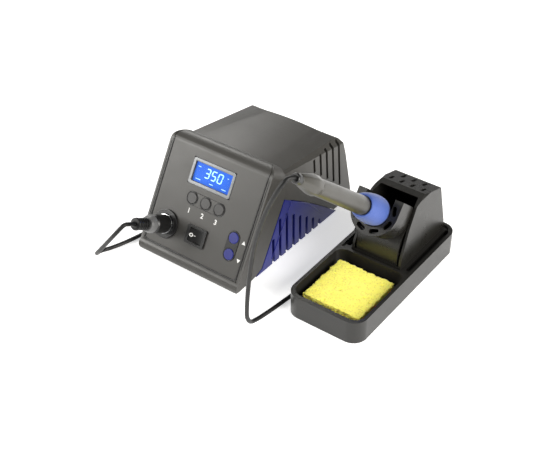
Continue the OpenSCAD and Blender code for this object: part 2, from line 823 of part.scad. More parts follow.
module holder_hood() {
    color("#42413e")
    in_stand() difference() {
        intersection() {
            across(holder_w) polygon(hood_side());
            hood_taper(0);
        }
        intersection() {
            across(holder_w) polygon([
                [hood_y0 - 9, deck_z + 2.4], hood_front()[2] - [9, 0], [hood_y0 + 8, deck_z + 90],
                [hood_top[1][0], deck_z + 90], [hood_top[1][0], hood_top[1][1] - holder_wall],
                hood_top[2] - [holder_wall, holder_wall],
                [hood_y0 + hood_len - holder_wall - 1, deck_z + 2.4]
            ]);
            hood_taper(holder_wall);
        }
        intersection() {
            across(holder_w - 2 * holder_wall - 4) polygon([
                [hood_y0 - 9, deck_z + 2.4], [hood_y0 - 9, deck_z + 90],
                [hood_top[1][0], deck_z + 90], [hood_top[1][0], deck_z + 2.4]]);
            hood_taper(holder_wall - 0.1);
        }
        tip_slots();
        for (p = stand_screw_spots) translate([p[0], p[1], deck_z - 1]) cylinder(r = 1.55, h = 6);
    }
}

ring_hole = grip_r + ring_gap;
ring_out = ring_hole + 8.6;
cradle_half = holder_w / 2 - 2 - holder_wall - 0.5;
ear_h = 16;

// a U open towards -Y, as the iron lies over it
module u_shape(r, h, up) {
    linear_extrude(h) {
        circle(r);
        translate([-r, -up]) square([2 * r, up]);
    }
}

module holder_cradle() {
    color("#45443f")
    difference() {
        union() {
            in_iron(ring_s - 1.5) u_shape(ring_out, 3.4, ear_h);
            in_iron(ring_s + 1.5) u_shape(cradle_half, 30, ear_h);
            // the curved apron from the deck up to the ring
            in_stand() across(2 * cradle_half) polygon(concat(
                apron(0), [for (i = [6 : -1 : 0]) apron(holder_wall)[i]]));
        }
        in_iron(ring_s - 5) u_shape(ring_hole, 10, 40);
        in_iron(ring_s + 1.9) u_shape(cradle_half - holder_wall, 40, 40);
        in_iron(ring_s - 5) translate([-ring_out - 1, -ear_h - 30, 0]) cube([2 * ring_out + 2, 30.2, 60]);
        for (i = [0 : 5]) in_iron(ring_s - 5) rotate(90 + (i - 2.5) * 43)
            translate([(ring_hole + ring_out) / 2 - 0.2, 0, 0]) vent_oval();
        // nothing of it stands in the hood's back or under the deck
        in_stand() across(100) polygon([
            [hood_top[0][0] - 2, 0], [hood_top[0][0] - 2, 200], [400, 200], [400, 0]]);
    }
}

function apron(off) = [for (i = [0 : 6]) let (k = i / 6)
    [hood_y0 + 1 + off + 11.5 * k * k * k, deck_z + 2.5 + 34 * k]];

module vent_oval() {
    linear_extrude(8) rounded_rect([4.2, 9.4], 2.05);
}

// ---------- the iron ----------

grip_s = ring_s + 12 - grip_l;
nut_s = grip_s + grip_l;

// a turned part round the iron's axis: pts are [radius, distance from the tail]
module turned(pts) {
    in_iron() rotate_extrude() polygon(pts);
}

module handle_tail() {
    color("#4a4946")
    turned([[2.3, 3], [4.6, 3], [5.2, 6], [7.4, 30], [7.4, 34], [6, 34], [6, 40], [2.3, 40]]);
}

module handle_tube() {
    color("#55544f")
    turned([[6.1, 34.1], [7.6, 34.1], [handle_r, grip_s - 0.2], [7.2, grip_s - 0.2], [7.2, nut_s - 3],
            [5.4, nut_s - 3], [5.4, 52], [6.1, 44]]);
}

module tail_grommet() {
    color("#1d1d1d")
    turned([[lead_d / 2, -4], [3.6, -4], [4.4, -2.6], [4.4, 2.9], [2.2, 2.9], [2.2, 8], [lead_d / 2, 8]]);
}

module grip_sleeve() {
    g = grip_s;
    r = grip_r;
    color("#4a76c8")
    turned(concat([[7.3, g], [handle_r + 0.5, g], [handle_r + 1, g + 5], [r - 3.2, g + 13]],
        [for (a = [-50 : 10 : 60]) [r - 11 + 11 * cos(a), g + grip_l * 0.63 + 15 * sin(a) * 0.9]],
        [[7.3, nut_s]]));
}

module barrel_nut() {
    color("#b6b8ba")
    turned([[barrel_r + 0.1, nut_s + 0.3], [7, nut_s + 0.3], [7, nut_s + 7], [5.8, nut_s + 9],
            [5.8, nut_s + 12], [barrel_r + 0.1, nut_s + 12]]);
}

module barrel() {
    color("#c2c4c5")
    turned([[2.7, nut_s - 8], [barrel_r, nut_s - 8], [barrel_r, nut_s + 12 + barrel_l - 4],
            [barrel_r - 0.8, nut_s + 12 + barrel_l], [3.15, nut_s + 12 + barrel_l],
            [3.15, nut_s + 20], [2.7, nut_s + 18]]);
}

module heater() {
    color("#e8e4dc")
    in_iron(nut_s - 14) cylinder(r = 2, h = 44);
}

module heater_terminal() {
    color("#d8c9a0")
    in_iron(nut_s - 30) cylinder(r = 5.3, h = 16);
}

module solder_tip() {
    tip_s = nut_s + 12 + barrel_l;
    color("#a7a29a")
    difference() {
        turned([[0, tip_s - 22], [3.1, tip_s - 22], [3.1, tip_s + 4], [2.4, tip_s + 7],
                [0.3, tip_s + tip_l], [0, tip_s + tip_l]]);
        in_iron(tip_s - 23) cylinder(r = 2.1, h = 12);
    }
}

// ---------- the lead ----------
// It drops from the iron's tail, runs along the stand and behind it to a tied coil behind the
// station, and comes forward on the station's left to the plug. Points in row millimetres.

tail_out = [0, -cos(iron_rise), sin(iron_rise)];
boot_out_dir = [0, -cos(panel_tilt), sin(panel_tilt)];
drop_pts = [[84.5, -110.7, 186.7], [84.5, -114.5, 189.9], [83.2, -120, 191.2], [80.7, -124.6, 186.8],
            [77, -127, 178.3], [71, -127.5, 165], [62.5, -126.5, 143.5], [54, -123.5, 119.5],
            [46.5, -119.5, 92], [40.3, -116, 62], [35.3, -112.5, 30], [33.2, -109.5, 16],
            [32.2, -103.5, 6.5], [32.2, -95, 3], [34, -80, 2]];
run_pts = [[34, -80, 2], [36.5, -60, 2], [39, -35, 2], [40, 0, 2], [39, 35, 2],
           [33, 65, 2], [22, 90, 2], [4, 110, 2], [-20, 122, 2], [-42, 126, 2], [-61.5, 126.5, 2]];
coil_at = [-80, 149.5];
coil_h = 2 * lead_d + 0.2;
to_plug_pts = [[-98.5, 126.5, 4], [-108, 125.3, 2.3], [-119, 120, 2], [-128, 110, 2], [-132, 95, 2],
               [-131, 60, 2], [-130, 20, 2], [-130, -20, 2], [-132, -50, 2], [-138, -78, 2],
               [-143.5, -95, 2.2], [-146.5, -106.5, 4], [-142.5, -116, 9], [-133, -121.5, 20],
               [-120, -124, 36], [-107.5, -124.5, 52], [-103, -122, 58.5], [-100.3, -117, 62.6],
               [-100, -110.8, 59.8]];

// a tube of the lead's diameter along a list of points; its end faces are square to from and to
module tube(pts, from, to, sides = 8) {
    n = len(pts);
    tang = [for (i = [0 : n - 1]) i == 0 ? from : i == n - 1 ? to : unit(pts[i + 1] - pts[i - 1])];
    rings = [for (i = [0 : n - 1]) let (u = carried(tang, i), v = cross(tang[i], u))
        [for (k = [0 : sides - 1])
            pts[i] + lead_d / 2 * (cos(360 * k / sides) * u + sin(360 * k / sides) * v)]];
    polyhedron(
        points = [for (ring = rings) each ring],
        faces = concat(
            [[for (k = [0 : sides - 1]) k]],
            [for (i = [0 : n - 2], k = [0 : sides - 1])
                let (a = i * sides + k, b = i * sides + (k + 1) % sides)
                each [[a, a + sides, b], [b, a + sides, b + sides]]],
            [[for (k = [sides - 1 : -1 : 0]) (n - 1) * sides + k]]
        ));
}

function unit(v) = v / norm(v);
// a direction square to the tube at ring i, carried along it without turning
function carried(tang, i) = i == 0 ? unit(cross(tang[0], abs(tang[0][2]) > 0.9 ? [1, 0, 0] : [0, 0, 1]))
    : let (u = carried(tang, i - 1)) unit(u - (u * tang[i]) * tang[i]);

module lead_drop() { color("#2a2a2a") tube(drop_pts, tail_out, unit([2, 13, 0])); }
module lead_run() { color("#2a2a2a") tube(run_pts, unit([2, 13, 0]), [-1, 0, 0]); }
module lead_to_plug() { color("#2a2a2a") tube(to_plug_pts, [-1, 0, 0], -boot_out_dir); }

module lead_coil() {
    color("#2a2a2a")
    translate([coil_at[0], coil_at[1], 0]) rotate_extrude()
        translate([coil_r - lead_d, 0]) square([2 * lead_d, coil_h]);
}

module coil_tie() {
    color("#151515")
    translate([coil_at[0], coil_at[1] + coil_r, coil_h / 2]) difference() {
        cube([4, 2 * lead_d + 2.4, coil_h], center = true);
        cube([5, 2 * lead_d + 0.6, coil_h + 2], center = true);
    }
}

front_bezel();
front_panel();
top_cover();
base_pan();
rear_panel();
side_panel_left();
side_panel_right();
lcd_frame();
lcd_window();
lcd_module();
button_1();
button_2();
button_3();
arrow_surround();
button_up();
button_down();
control_board();
tact_switches();
switch_housing();
power_rocker();
rocker_pin();
socket_flange();
socket_ring();
socket_insert();
transformer_core();
transformer_winding();
transformer_bracket();
power_board();
heat_sink();
capacitor();
mains_inlet();
fuse_drawer();
station_feet();
case_screws();
tray_base();
sponge();
holder_hood();
holder_cradle();
stand_feet();
holder_screws();
handle_tube();
handle_tail();
tail_grommet();
grip_sleeve();
barrel_nut();
barrel();
heater();
solder_tip();
heater_terminal();
plug_body();
plug_collar();
plug_boot();
lead_drop();
lead_run();
lead_coil();
lead_to_plug();
coil_tie();
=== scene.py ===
import json
import math
import bpy
import numpy as np
from mathutils import Matrix, Vector

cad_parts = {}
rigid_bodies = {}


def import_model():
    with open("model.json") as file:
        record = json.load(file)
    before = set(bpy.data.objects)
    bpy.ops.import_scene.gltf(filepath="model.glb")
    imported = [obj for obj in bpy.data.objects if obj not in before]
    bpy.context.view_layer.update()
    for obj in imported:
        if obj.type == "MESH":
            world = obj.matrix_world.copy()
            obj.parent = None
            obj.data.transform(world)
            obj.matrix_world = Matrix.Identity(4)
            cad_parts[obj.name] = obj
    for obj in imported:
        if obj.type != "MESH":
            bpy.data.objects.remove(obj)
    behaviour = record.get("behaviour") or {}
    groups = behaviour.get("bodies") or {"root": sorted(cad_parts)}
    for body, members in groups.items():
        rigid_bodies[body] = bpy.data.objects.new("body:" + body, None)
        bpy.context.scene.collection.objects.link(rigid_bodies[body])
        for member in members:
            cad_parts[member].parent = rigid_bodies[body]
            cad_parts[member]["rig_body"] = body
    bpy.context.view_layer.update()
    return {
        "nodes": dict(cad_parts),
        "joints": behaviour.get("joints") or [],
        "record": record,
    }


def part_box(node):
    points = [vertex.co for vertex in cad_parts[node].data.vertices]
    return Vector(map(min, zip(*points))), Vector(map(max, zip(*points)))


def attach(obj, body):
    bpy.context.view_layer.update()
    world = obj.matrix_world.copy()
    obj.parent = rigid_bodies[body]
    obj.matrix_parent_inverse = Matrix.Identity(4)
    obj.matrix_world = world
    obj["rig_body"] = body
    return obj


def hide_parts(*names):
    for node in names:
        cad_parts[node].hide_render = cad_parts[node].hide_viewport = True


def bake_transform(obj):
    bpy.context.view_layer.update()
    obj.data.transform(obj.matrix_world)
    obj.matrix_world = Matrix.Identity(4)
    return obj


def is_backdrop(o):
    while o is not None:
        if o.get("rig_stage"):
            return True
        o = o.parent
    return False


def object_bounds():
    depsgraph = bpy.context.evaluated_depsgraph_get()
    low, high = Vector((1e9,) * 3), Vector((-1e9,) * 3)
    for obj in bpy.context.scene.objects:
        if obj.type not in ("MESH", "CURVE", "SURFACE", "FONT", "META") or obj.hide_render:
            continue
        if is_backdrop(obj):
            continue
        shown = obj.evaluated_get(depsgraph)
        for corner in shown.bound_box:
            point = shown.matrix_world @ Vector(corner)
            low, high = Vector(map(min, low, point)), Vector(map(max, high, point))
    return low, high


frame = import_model()

# %% [markdown]
# # A soldering station, its stand and its iron
#
# The real thing is a bench tool of four things: a control station in dark moulded plastic with
# blue vented sides, an iron on a soft rubber lead, and a heavy little stand with a holder for the
# hot iron and a wet yellow sponge to wipe its tip on.
#
# The imported model already holds every part at its real size and place. This lesson never moves
# those parts. It rounds the edges of the moulded shells, models the pieces that a plain solid
# can't show, such as the lead, the sponge and the grip, and gives each of them a finish.

# %% The imported model's parts
MM = 0.001
nodes = frame["nodes"]
STATION = "station_and_stand"

# %% [markdown]
# ## The camera, the light and the floor
#
# A catalogue picture of a small bench tool is taken from a bit over a metre away with a short
# telephoto lens, so that the upright edges stay nearly parallel. The light is three soft boxes: a
# wide one to the right, which makes the right-hand faces the palest, a weaker one to the left of
# the lens, and the weakest behind on the left. The room adds only a little grey light, so that
# hollows stay dark, but it is pale where the camera sees it. The floor is plain and pale.

# %% Camera
def look_from(eye, azimuth, elevation):
    """The place and turn of a camera at the eye, for angles in degrees round and above the front."""
    a, e = math.radians(azimuth), math.radians(elevation)
    back = Vector((math.sin(a) * math.cos(e), -math.cos(a) * math.cos(e), math.sin(e)))
    turn = (-back).to_track_quat("-Z", "Y").to_matrix().to_4x4()
    return Matrix.Translation(eye) @ turn


LENS_MM = 71.7
EYE = Vector((0.4764, -0.6708, 0.6637))
AZIMUTH, ELEVATION = 36.35, 37.34
camera_data = bpy.data.cameras.new("camera")
camera_data.lens = LENS_MM
camera_data.sensor_width = 36
camera_data.clip_end = 20
camera = bpy.data.objects.new("camera", camera_data)
bpy.context.scene.collection.objects.link(camera)
camera.matrix_world = look_from(EYE, AZIMUTH, ELEVATION)
bpy.context.scene.camera = camera
bpy.context.scene.view_settings.view_transform = "Standard"
print("camera at", [round(x, 3) for x in camera.location])


# %% Lights
def soft_box(name, at, aim, size, power, tint):
    """A square area light that points from one place at another."""
    data = bpy.data.lights.new(name, "AREA")
    data.shape = "RECTANGLE"
    data.size, data.size_y = size
    data.energy = power
    data.color = tint
    lamp = bpy.data.objects.new(name, data)
    bpy.context.scene.collection.objects.link(lamp)
    lamp.location = at
    lamp.rotation_euler = (Vector(aim) - Vector(at)).to_track_quat("-Z", "Y").to_euler()


soft_box("right_box", (1.3, -0.15, 0.7), (0.0, 0.0, 0.05), (0.9, 0.9), 33, (1.0, 0.98, 0.94))
soft_box("left_box", (-1.15, -1.0, 0.75), (-0.06, 0.0, 0.06), (0.8, 0.7), 24, (1.0, 0.99, 0.96))
soft_box("back_box", (-1.15, 1.0, 0.95), (-0.06, 0.0, 0.1), (0.8, 0.7), 12, (1.0, 0.99, 0.96))
ROOM_LIGHT, ROOM_SEEN = 0.2, 0.9
room = bpy.data.worlds.new("room")
room.use_nodes = True
backdrop = room.node_tree.nodes["Background"]
backdrop.inputs["Color"].default_value = (1.0, 1.0, 1.0, 1)
rays = room.node_tree.nodes.new("ShaderNodeLightPath")
pale = room.node_tree.nodes.new("ShaderNodeMapRange")
pale.inputs["To Min"].default_value = ROOM_LIGHT
pale.inputs["To Max"].default_value = ROOM_SEEN
room.node_tree.links.new(rays.outputs["Is Camera Ray"], pale.inputs["Value"])
room.node_tree.links.new(pale.outputs["Result"], backdrop.inputs["Strength"])
bpy.context.scene.world = room
print("three soft boxes and a dim room")

# %% [markdown]
# ## Helpers for modelling
#
# An operator works on everything that is selected, so each step starts by selecting one object
# alone. Edges are chosen in code by where they are, which is what a person does with the mouse. A
# piece that is built flat on the world's floor is carried to its place at the end, and its mesh
# then takes that place over, so that every finished object sits at the origin.

# %% Selecting and placing
def only(piece):
    """Selects one object alone and makes it the active one."""
    if bpy.context.object and bpy.context.object.mode != "OBJECT":
        bpy.ops.object.mode_set(mode="OBJECT")
    for other in bpy.context.selected_objects:
        other.select_set(False)
    piece.select_set(True)
    bpy.context.view_layer.objects.active = piece
    return piece


def named(name):
    """The new primitive, under its own name."""
    piece = bpy.context.object
    piece.name = name
    piece.data.name = name
    return piece


def settled(piece, place=None):
    """Carries a piece to its place and lets its mesh take that place over."""
    only(piece)
    if place is not None:
        piece.matrix_world = place @ piece.matrix_world
    bpy.ops.object.transform_apply(location=True, rotation=True, scale=True)
    return piece


def pick_edges(piece, test):
    """Selects, in edit mode, the edges whose middle and direction pass a test."""
    only(piece)
    mesh = piece.data
    for group in (mesh.vertices, mesh.edges, mesh.polygons):
        group.foreach_set("select", np.zeros(len(group), bool))
    at = [v.co.copy() for v in mesh.vertices]
    for edge in mesh.edges:
        a, b = (at[i] for i in edge.vertices)
        edge.select = bool(test((a + b) / 2, (b - a).normalized()))
    bpy.ops.object.mode_set(mode="EDIT")
    bpy.ops.mesh.select_mode(type="EDGE")


def done(piece, smooth_angle):
    """Leaves edit mode and shades the piece smooth, but for corners sharper than an angle."""
    only(piece)
    bpy.ops.object.shade_smooth_by_angle(angle=math.radians(smooth_angle))
    return piece


def outward(piece):
    """Merges doubled points and turns every face outwards."""
    only(piece)
    bpy.ops.object.mode_set(mode="EDIT")
    bpy.ops.mesh.select_all(action="SELECT")
    bpy.ops.mesh.remove_doubles(threshold=1e-6)
    bpy.ops.mesh.normals_make_consistent(inside=False)
    bpy.ops.object.mode_set(mode="OBJECT")
    return piece


def modified(piece, kind, **settings):
    """Adds a modifier with these settings and applies it."""
    only(piece)
    modifier = piece.modifiers.new(kind.lower(), kind)
    for key, value in settings.items():
        setattr(modifier, key, value)
    bpy.ops.object.modifier_apply(modifier=modifier.name)
    return piece


# %% [markdown]
# ## Rounded copies of the moulded parts
#
# No moulded edge is truly sharp: plastic leaves the mould with a small radius, and the eye finds
# an object's size by the highlights along it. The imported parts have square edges, so each visible
# one is copied, its triangles are merged back into whole faces, and a narrow bevel rounds what is
# left. The copy stands for the part, which stays in the model unchanged. Edges bent by more than
# SHARP degrees are rounded, faces within FLAT degrees are one face, and the shading is smooth
# across bends under SMOOTH degrees, with the big faces weighing most, so that they look flat.

# %% A rounded copy
def ride_like(piece, node):
    """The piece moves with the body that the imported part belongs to."""
    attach(piece, nodes[node]["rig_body"])
    return piece


SHARP, FLAT, SMOOTH = 28, 0.6, 32


def rounded(node, width_mm, segments=2):
    """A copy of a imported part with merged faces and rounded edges, which stands for it."""
    source = nodes[node]
    piece = bpy.data.objects.new(node + "_shell", source.data.copy())
    bpy.context.scene.collection.objects.link(piece)
    piece.data.name = piece.name
    only(piece)
    bpy.ops.mesh.customdata_custom_splitnormals_clear()
    bpy.ops.object.mode_set(mode="EDIT")
    bpy.ops.mesh.select_all(action="SELECT")
    bpy.ops.mesh.remove_doubles(threshold=2e-5)
    bpy.ops.mesh.dissolve_limited(angle_limit=math.radians(FLAT))
    bpy.ops.object.mode_set(mode="OBJECT")
    if width_mm:
        modified(piece, "BEVEL", width=width_mm * MM, segments=segments, limit_method="ANGLE",
                 angle_limit=math.radians(SHARP), use_clamp_overlap=True, miter_outer="MITER_ARC")
    done(piece, SMOOTH)
    modified(piece, "WEIGHTED_NORMAL", keep_sharp=True, weight=90)
    ride_like(piece, node)
    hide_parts(node)
    return piece


# %% [markdown]
# ## Shader sums
#
# A finish is a small sum of noise patterns. Written as sockets and links it is hard to read, so
# one class wraps an output socket: adding or multiplying two of them adds the Math node, and one
# method makes any other node.

# %% The Wire class
class Wire:
    """An output socket of a material's nodes."""

    def __init__(self, tree, socket=None):
        self.tree = tree
        self.socket = socket

    def node(self, kind, settings=None, sockets=None, out=0):
        """Adds a node, sets its settings, fills or links its sockets, and returns one output."""
        made = self.tree.nodes.new(kind)
        for key, value in (settings or {}).items():
            if key == "stops":
                set_stops(made.color_ramp, value)
            else:
                setattr(made, key, value)
        for key, value in (sockets or {}).items():
            if isinstance(value, Wire):
                self.tree.links.new(value.socket, made.inputs[key])
            else:
                made.inputs[key].default_value = value
        return Wire(self.tree, made.outputs[out] if made.outputs else None)

    def math(self, operation, first, second=0.0):
        return self.node("ShaderNodeMath", {"operation": operation}, {0: first, 1: second})

    def __add__(self, other):
        return self.math("ADD", self, other)

    def __radd__(self, other):
        return self.math("ADD", other, self)

    def __sub__(self, other):
        return self.math("SUBTRACT", self, other)

    def __rsub__(self, other):
        return self.math("SUBTRACT", other, self)

    def __mul__(self, other):
        return self.math("MULTIPLY", self, other)

    def __rmul__(self, other):
        return self.math("MULTIPLY", other, self)

    def noise(self, size_mm, detail=2.0, rough=0.5, at=None):
        """Soft noise with features of about that size, in the object's own metres."""
        place = at or self.node("ShaderNodeTexCoord", out="Object")
        return self.node("ShaderNodeTexNoise", {}, {
            "Vector": place, "Scale": 1000.0 / size_mm, "Detail": detail, "Roughness": rough})

    def ramp(self, stops):
        """This number through a colour ramp of (place, value) stops."""
        return self.node("ShaderNodeValToRGB", {"stops": stops}, {"Fac": self})

    def between(self, low, high):
        """Two colours mixed by this number."""
        return self.node("ShaderNodeMix", {"data_type": "RGBA"},
                         {0: self, 6: (*low, 1), 7: (*high, 1)}, out=2)


def set_stops(ramp, stops):
    """Gives a colour ramp its stops, each a place and a grey or a colour."""
    while len(ramp.elements) > 1:
        ramp.elements.remove(ramp.elements[-1])
    for i, (place, value) in enumerate(stops):
        stop = ramp.elements[0] if i == 0 else ramp.elements.new(place)
        stop.position = place
        stop.color = (*value, 1) if isinstance(value, tuple) else (value, value, value, 1)


def new_finish(name):
    """An empty material and a wire to build it from."""
    finish = bpy.data.materials.new(name)
    finish.use_nodes = True
    finish.node_tree.nodes.clear()
    return finish, Wire(finish.node_tree)


def surface(w, color, roughness, bump=None, depth_mm=0.05, **fixed):
    """Ends a material in one shader; bump is a height wire."""
    sockets = {"Base Color": color, "Roughness": roughness}
    sockets.update({key.replace("_", " "): value for key, value in fixed.items()})
    if bump is not None:
        sockets["Normal"] = w.node("ShaderNodeBump", {}, {
            "Height": bump, "Strength": 1.0, "Distance": depth_mm * MM})
    shader = w.node("ShaderNodeBsdfPrincipled", {}, sockets)
    w.node("ShaderNodeOutputMaterial", {}, {"Surface": shader})


def shade(color, k):
    """A colour made k times as bright."""
    return tuple(min(1.0, c * k) for c in color)


# %% [markdown]
# ## Moulded plastic
#
# The shells are spark-eroded ABS: a dull, even grain of a few tenths of a millimetre, with a
# slow drift in tone where the melt flowed, and a sheen that changes a little where hands have
# polished the grain. One function makes every such plastic from its colour, grain and sheen.

# %% Moulded plastic
def moulded(name, color, sheen=0.5, grain_mm=0.45, grain_deep=0.018, drift=0.10):
    """Injection-moulded plastic with a fine grain."""
    finish, w = new_finish(name)
    slow = w.noise(45, 2.0)
    grain = w.noise(grain_mm, 1.0)
    handled = w.noise(18, 3.0, 0.6)
    tone = slow * 0.75 + grain * 0.25
    color_wire = tone.between(shade(color, 1 - drift), shade(color, 1 + drift))
    gloss = handled * 0.16 + grain * 0.10 + (sheen - 0.13)
    surface(w, color_wire, gloss, grain, grain_deep, Specular_IOR_Level=0.45)
    return finish


WARM_BLACK = (0.040, 0.038, 0.034)
finishes = {
    "housing_plastic": moulded("housing_plastic", WARM_BLACK, 0.38),
    "panel_plastic": moulded("panel_plastic", (0.046, 0.044, 0.040), 0.40, 0.35, 0.012),
    "tray_plastic": moulded("tray_plastic", (0.014, 0.0135, 0.012), 0.31),
    "holder_plastic": moulded("holder_plastic", (0.011, 0.0105, 0.009), 0.30),
    "blue_plastic": moulded("blue_plastic", (0.009, 0.013, 0.15), 0.34, 0.4, 0.012, 0.14),
    "button_plastic": moulded("button_plastic", (0.035, 0.034, 0.033), 0.40, 0.3, 0.008),
    "black_plastic": moulded("black_plastic", (0.006, 0.006, 0.006), 0.34, 0.4, 0.010, 0.2),
    "collar_plastic": moulded("collar_plastic", (0.10, 0.10, 0.10), 0.4, 0.4, 0.010),
    "handle_plastic": moulded("handle_plastic", (0.036, 0.034, 0.028), 0.32, 0.5, 0.006, 0.12),
    "terminal_board": moulded("terminal_board", (0.40, 0.28, 0.12), 0.5, 0.6, 0.02, 0.2),
}
print("moulded plastics:", ", ".join(finishes))

# %% [markdown]
# ## Rubber, metal and the rest
#
# The lead, the boot and the feet are soft rubber: dull, with a bloom of paler dust. The metals
# differ mostly in the size of the marks left on them: long brush marks on sheet steel, none on
# chrome. Circuit board shows its tracks as slightly raised bands beneath the green mask.

# %% Rubber and fabric-like finishes
def rubber(name, color, dust=0.12, rough=0.62, grain_mm=0.6, deep=0.03):
    """Dull soft rubber with a faint bloom."""
    finish, w = new_finish(name)
    bloom = w.noise(9, 4.0, 0.65).ramp([(0.42, 0.0), (0.72, 1.0)])
    grain = w.noise(grain_mm, 2.0, 0.6)
    color_wire = (bloom * 0.8 + grain * 0.2).between(color, shade(color, 1 + 6 * dust))
    surface(w, color_wire, bloom * 0.12 + grain * 0.08 + (rough - 0.1), grain, deep,
            Specular_IOR_Level=0.35)
    return finish


finishes["lead_rubber"] = rubber("lead_rubber", (0.0035, 0.0035, 0.0035), 0.04, 0.5, 0.5, 0.01)
finishes["foot_rubber"] = rubber("foot_rubber", (0.014, 0.014, 0.014), 0.2, 0.75)
print("rubbers done")


# %% Metals
def metal(name, color, rough, marks=0.06, stretch=(1.0, 1.0, 14.0), mark_mm=1.2):
    """Bare or plated metal with fine marks along one direction."""
    finish, w = new_finish(name)
    place = w.node("ShaderNodeMapping", {}, {
        "Vector": w.node("ShaderNodeTexCoord", out="Object"), "Scale": stretch})
    brush = w.noise(mark_mm, 3.0, 0.6, place)
    stain = w.noise(12, 3.0, 0.55)
    color_wire = (brush * 0.5 + stain * 0.5).between(shade(color, 0.86), shade(color, 1.08))
    surface(w, color_wire, brush * marks * 2 + stain * marks + (rough - marks), brush, 0.004,
            Metallic=1.0)
    return finish


finishes["chrome_metal"] = metal("chrome_metal", (0.62, 0.63, 0.64), 0.16, 0.03)
finishes["zinc_steel"] = metal("zinc_steel", (0.48, 0.49, 0.50), 0.34, 0.08)
finishes["core_steel"] = metal("core_steel", (0.16, 0.16, 0.17), 0.5, 0.1, (1.0, 1.0, 40.0), 2.0)
finishes["aluminium"] = metal("aluminium", (0.66, 0.67, 0.68), 0.36, 0.08, (1.0, 14.0, 1.0))
finishes["tip_plating"] = metal("tip_plating", (0.42, 0.41, 0.40), 0.42, 0.12)
finishes["winding"] = metal("winding", (0.55, 0.24, 0.07), 0.34, 0.1, (1.0, 1.0, 30.0), 9.0)
print("metals done")


# %% Silver paint, capacitor sleeve, ceramic and board
def silver_paint():
    """Silver paint on plastic: fine metal flakes under a satin clear coat."""
    finish, w = new_finish("silver_frame")
    flakes = w.noise(0.25, 1.0).ramp([(0.4, 0.0), (0.7, 1.0)])
    slow = w.noise(30, 2.0)
    color_wire = (flakes * 0.5 + slow * 0.5).between((0.11, 0.115, 0.12), (0.19, 0.195, 0.20))
    surface(w, color_wire, flakes * 0.14 + 0.36, flakes, 0.004, Metallic=0.55, Coat_Weight=0.2)
    return finish


def circuit_board():
    """Green solder mask over copper tracks."""
    finish, w = new_finish("circuit_board")
    tracks = w.node("ShaderNodeTexVoronoi", {"distance": "CHEBYCHEV"}, {
        "Vector": w.node("ShaderNodeTexCoord", out="Object"), "Scale": 220.0}).ramp(
        [(0.30, 1.0), (0.34, 0.0)])
    mottle = w.noise(6, 3.0)
    color_wire = (tracks * 0.7 + mottle * 0.3).between((0.008, 0.075, 0.028), (0.03, 0.19, 0.07))
    surface(w, color_wire, mottle * 0.1 + 0.28, tracks, 0.03, Coat_Weight=0.3)
    return finish


finishes["silver_frame"] = silver_paint()
finishes["circuit_board"] = circuit_board()
finishes["capacitor_sleeve"] = moulded("capacitor_sleeve", (0.016, 0.03, 0.14), 0.25, 2.0, 0.004)
finishes["ceramic"] = moulded("ceramic", (0.80, 0.79, 0.74), 0.7, 0.5, 0.02, 0.06)
print("painted and printed finishes done")


# %% [markdown]
# ## The display
#
# A backlit liquid-crystal display is bright blue where the light comes through, a little darker
# towards its edges, and its digits are paler still. The window over it is clear plastic.

# %% Display finishes
def backlight():
    """The lit blue of the display, with the faint unevenness of its light guide."""
    finish, w = new_finish("screen")
    uneven = w.noise(16, 2.0)
    fine = w.noise(0.5, 1.0)
    glow = (uneven * 0.8 + fine * 0.2).between((0.012, 0.075, 0.45), (0.022, 0.12, 0.58))
    surface(w, glow, fine * 0.1 + 0.3, Emission_Color=glow, Emission_Strength=0.62,
            Specular_IOR_Level=0.1)
    return finish


def lit_digits():
    """The pale segments of the display."""
    finish, w = new_finish("segment_light")
    fine = w.noise(0.6, 1.0)
    glow = fine.between((0.30, 0.66, 0.95), (0.50, 0.82, 1.0))
    surface(w, glow, fine * 0.1 + 0.35, Emission_Color=glow, Emission_Strength=0.7)
    return finish


def clear_window():
    """Clear plastic with a few faint smears."""
    finish, w = new_finish("window_glass")
    smear = w.noise(14, 4.0, 0.6)
    tint = smear.between((0.04, 0.10, 0.22), (0.06, 0.14, 0.28))
    surface(w, tint, smear * 0.10 + 0.05, Alpha=smear * 0.03 + 0.02, Specular_IOR_Level=0.15)
    return finish


def white_ink():
    """Screen-printed white ink, a little thin at its edges."""
    finish, w = new_finish("white_ink")
    thin = w.noise(0.8, 3.0)
    surface(w, thin.between((0.62, 0.62, 0.60), (0.80, 0.80, 0.78)), thin * 0.2 + 0.45, thin, 0.004)
    return finish


finishes["screen"] = backlight()
finishes["window_glass"] = clear_window()
segment_light = lit_digits()
print_ink = white_ink()
print("display finishes done")


# %% [markdown]
# ## The grip and the sponge
#
# The grip is foamed silicone in a clear mid blue: soft, dull, with a fine pebble. The sponge
# is dry cellulose, bright yellow, full of pores of every size from a pinprick to a lentil, whose
# insides are painted with shade, darker and more orange.

# %% Grip finish
def soft_grip():
    """Foamed silicone with a fine pebble and a soft sheen."""
    finish, w = new_finish("grip_rubber")
    pebble = w.node("ShaderNodeTexVoronoi", {}, {
        "Vector": w.node("ShaderNodeTexCoord", out="Object"), "Scale": 900.0})
    worn = w.noise(10, 3.0)
    color_wire = (pebble * 0.5 + worn * 0.5).between((0.023, 0.058, 0.24), (0.040, 0.084, 0.31))
    surface(w, color_wire, worn * 0.15 + 0.50, 1.0 - pebble, 0.10, Sheen_Weight=0.15)
    return finish


finishes["grip_rubber"] = soft_grip()


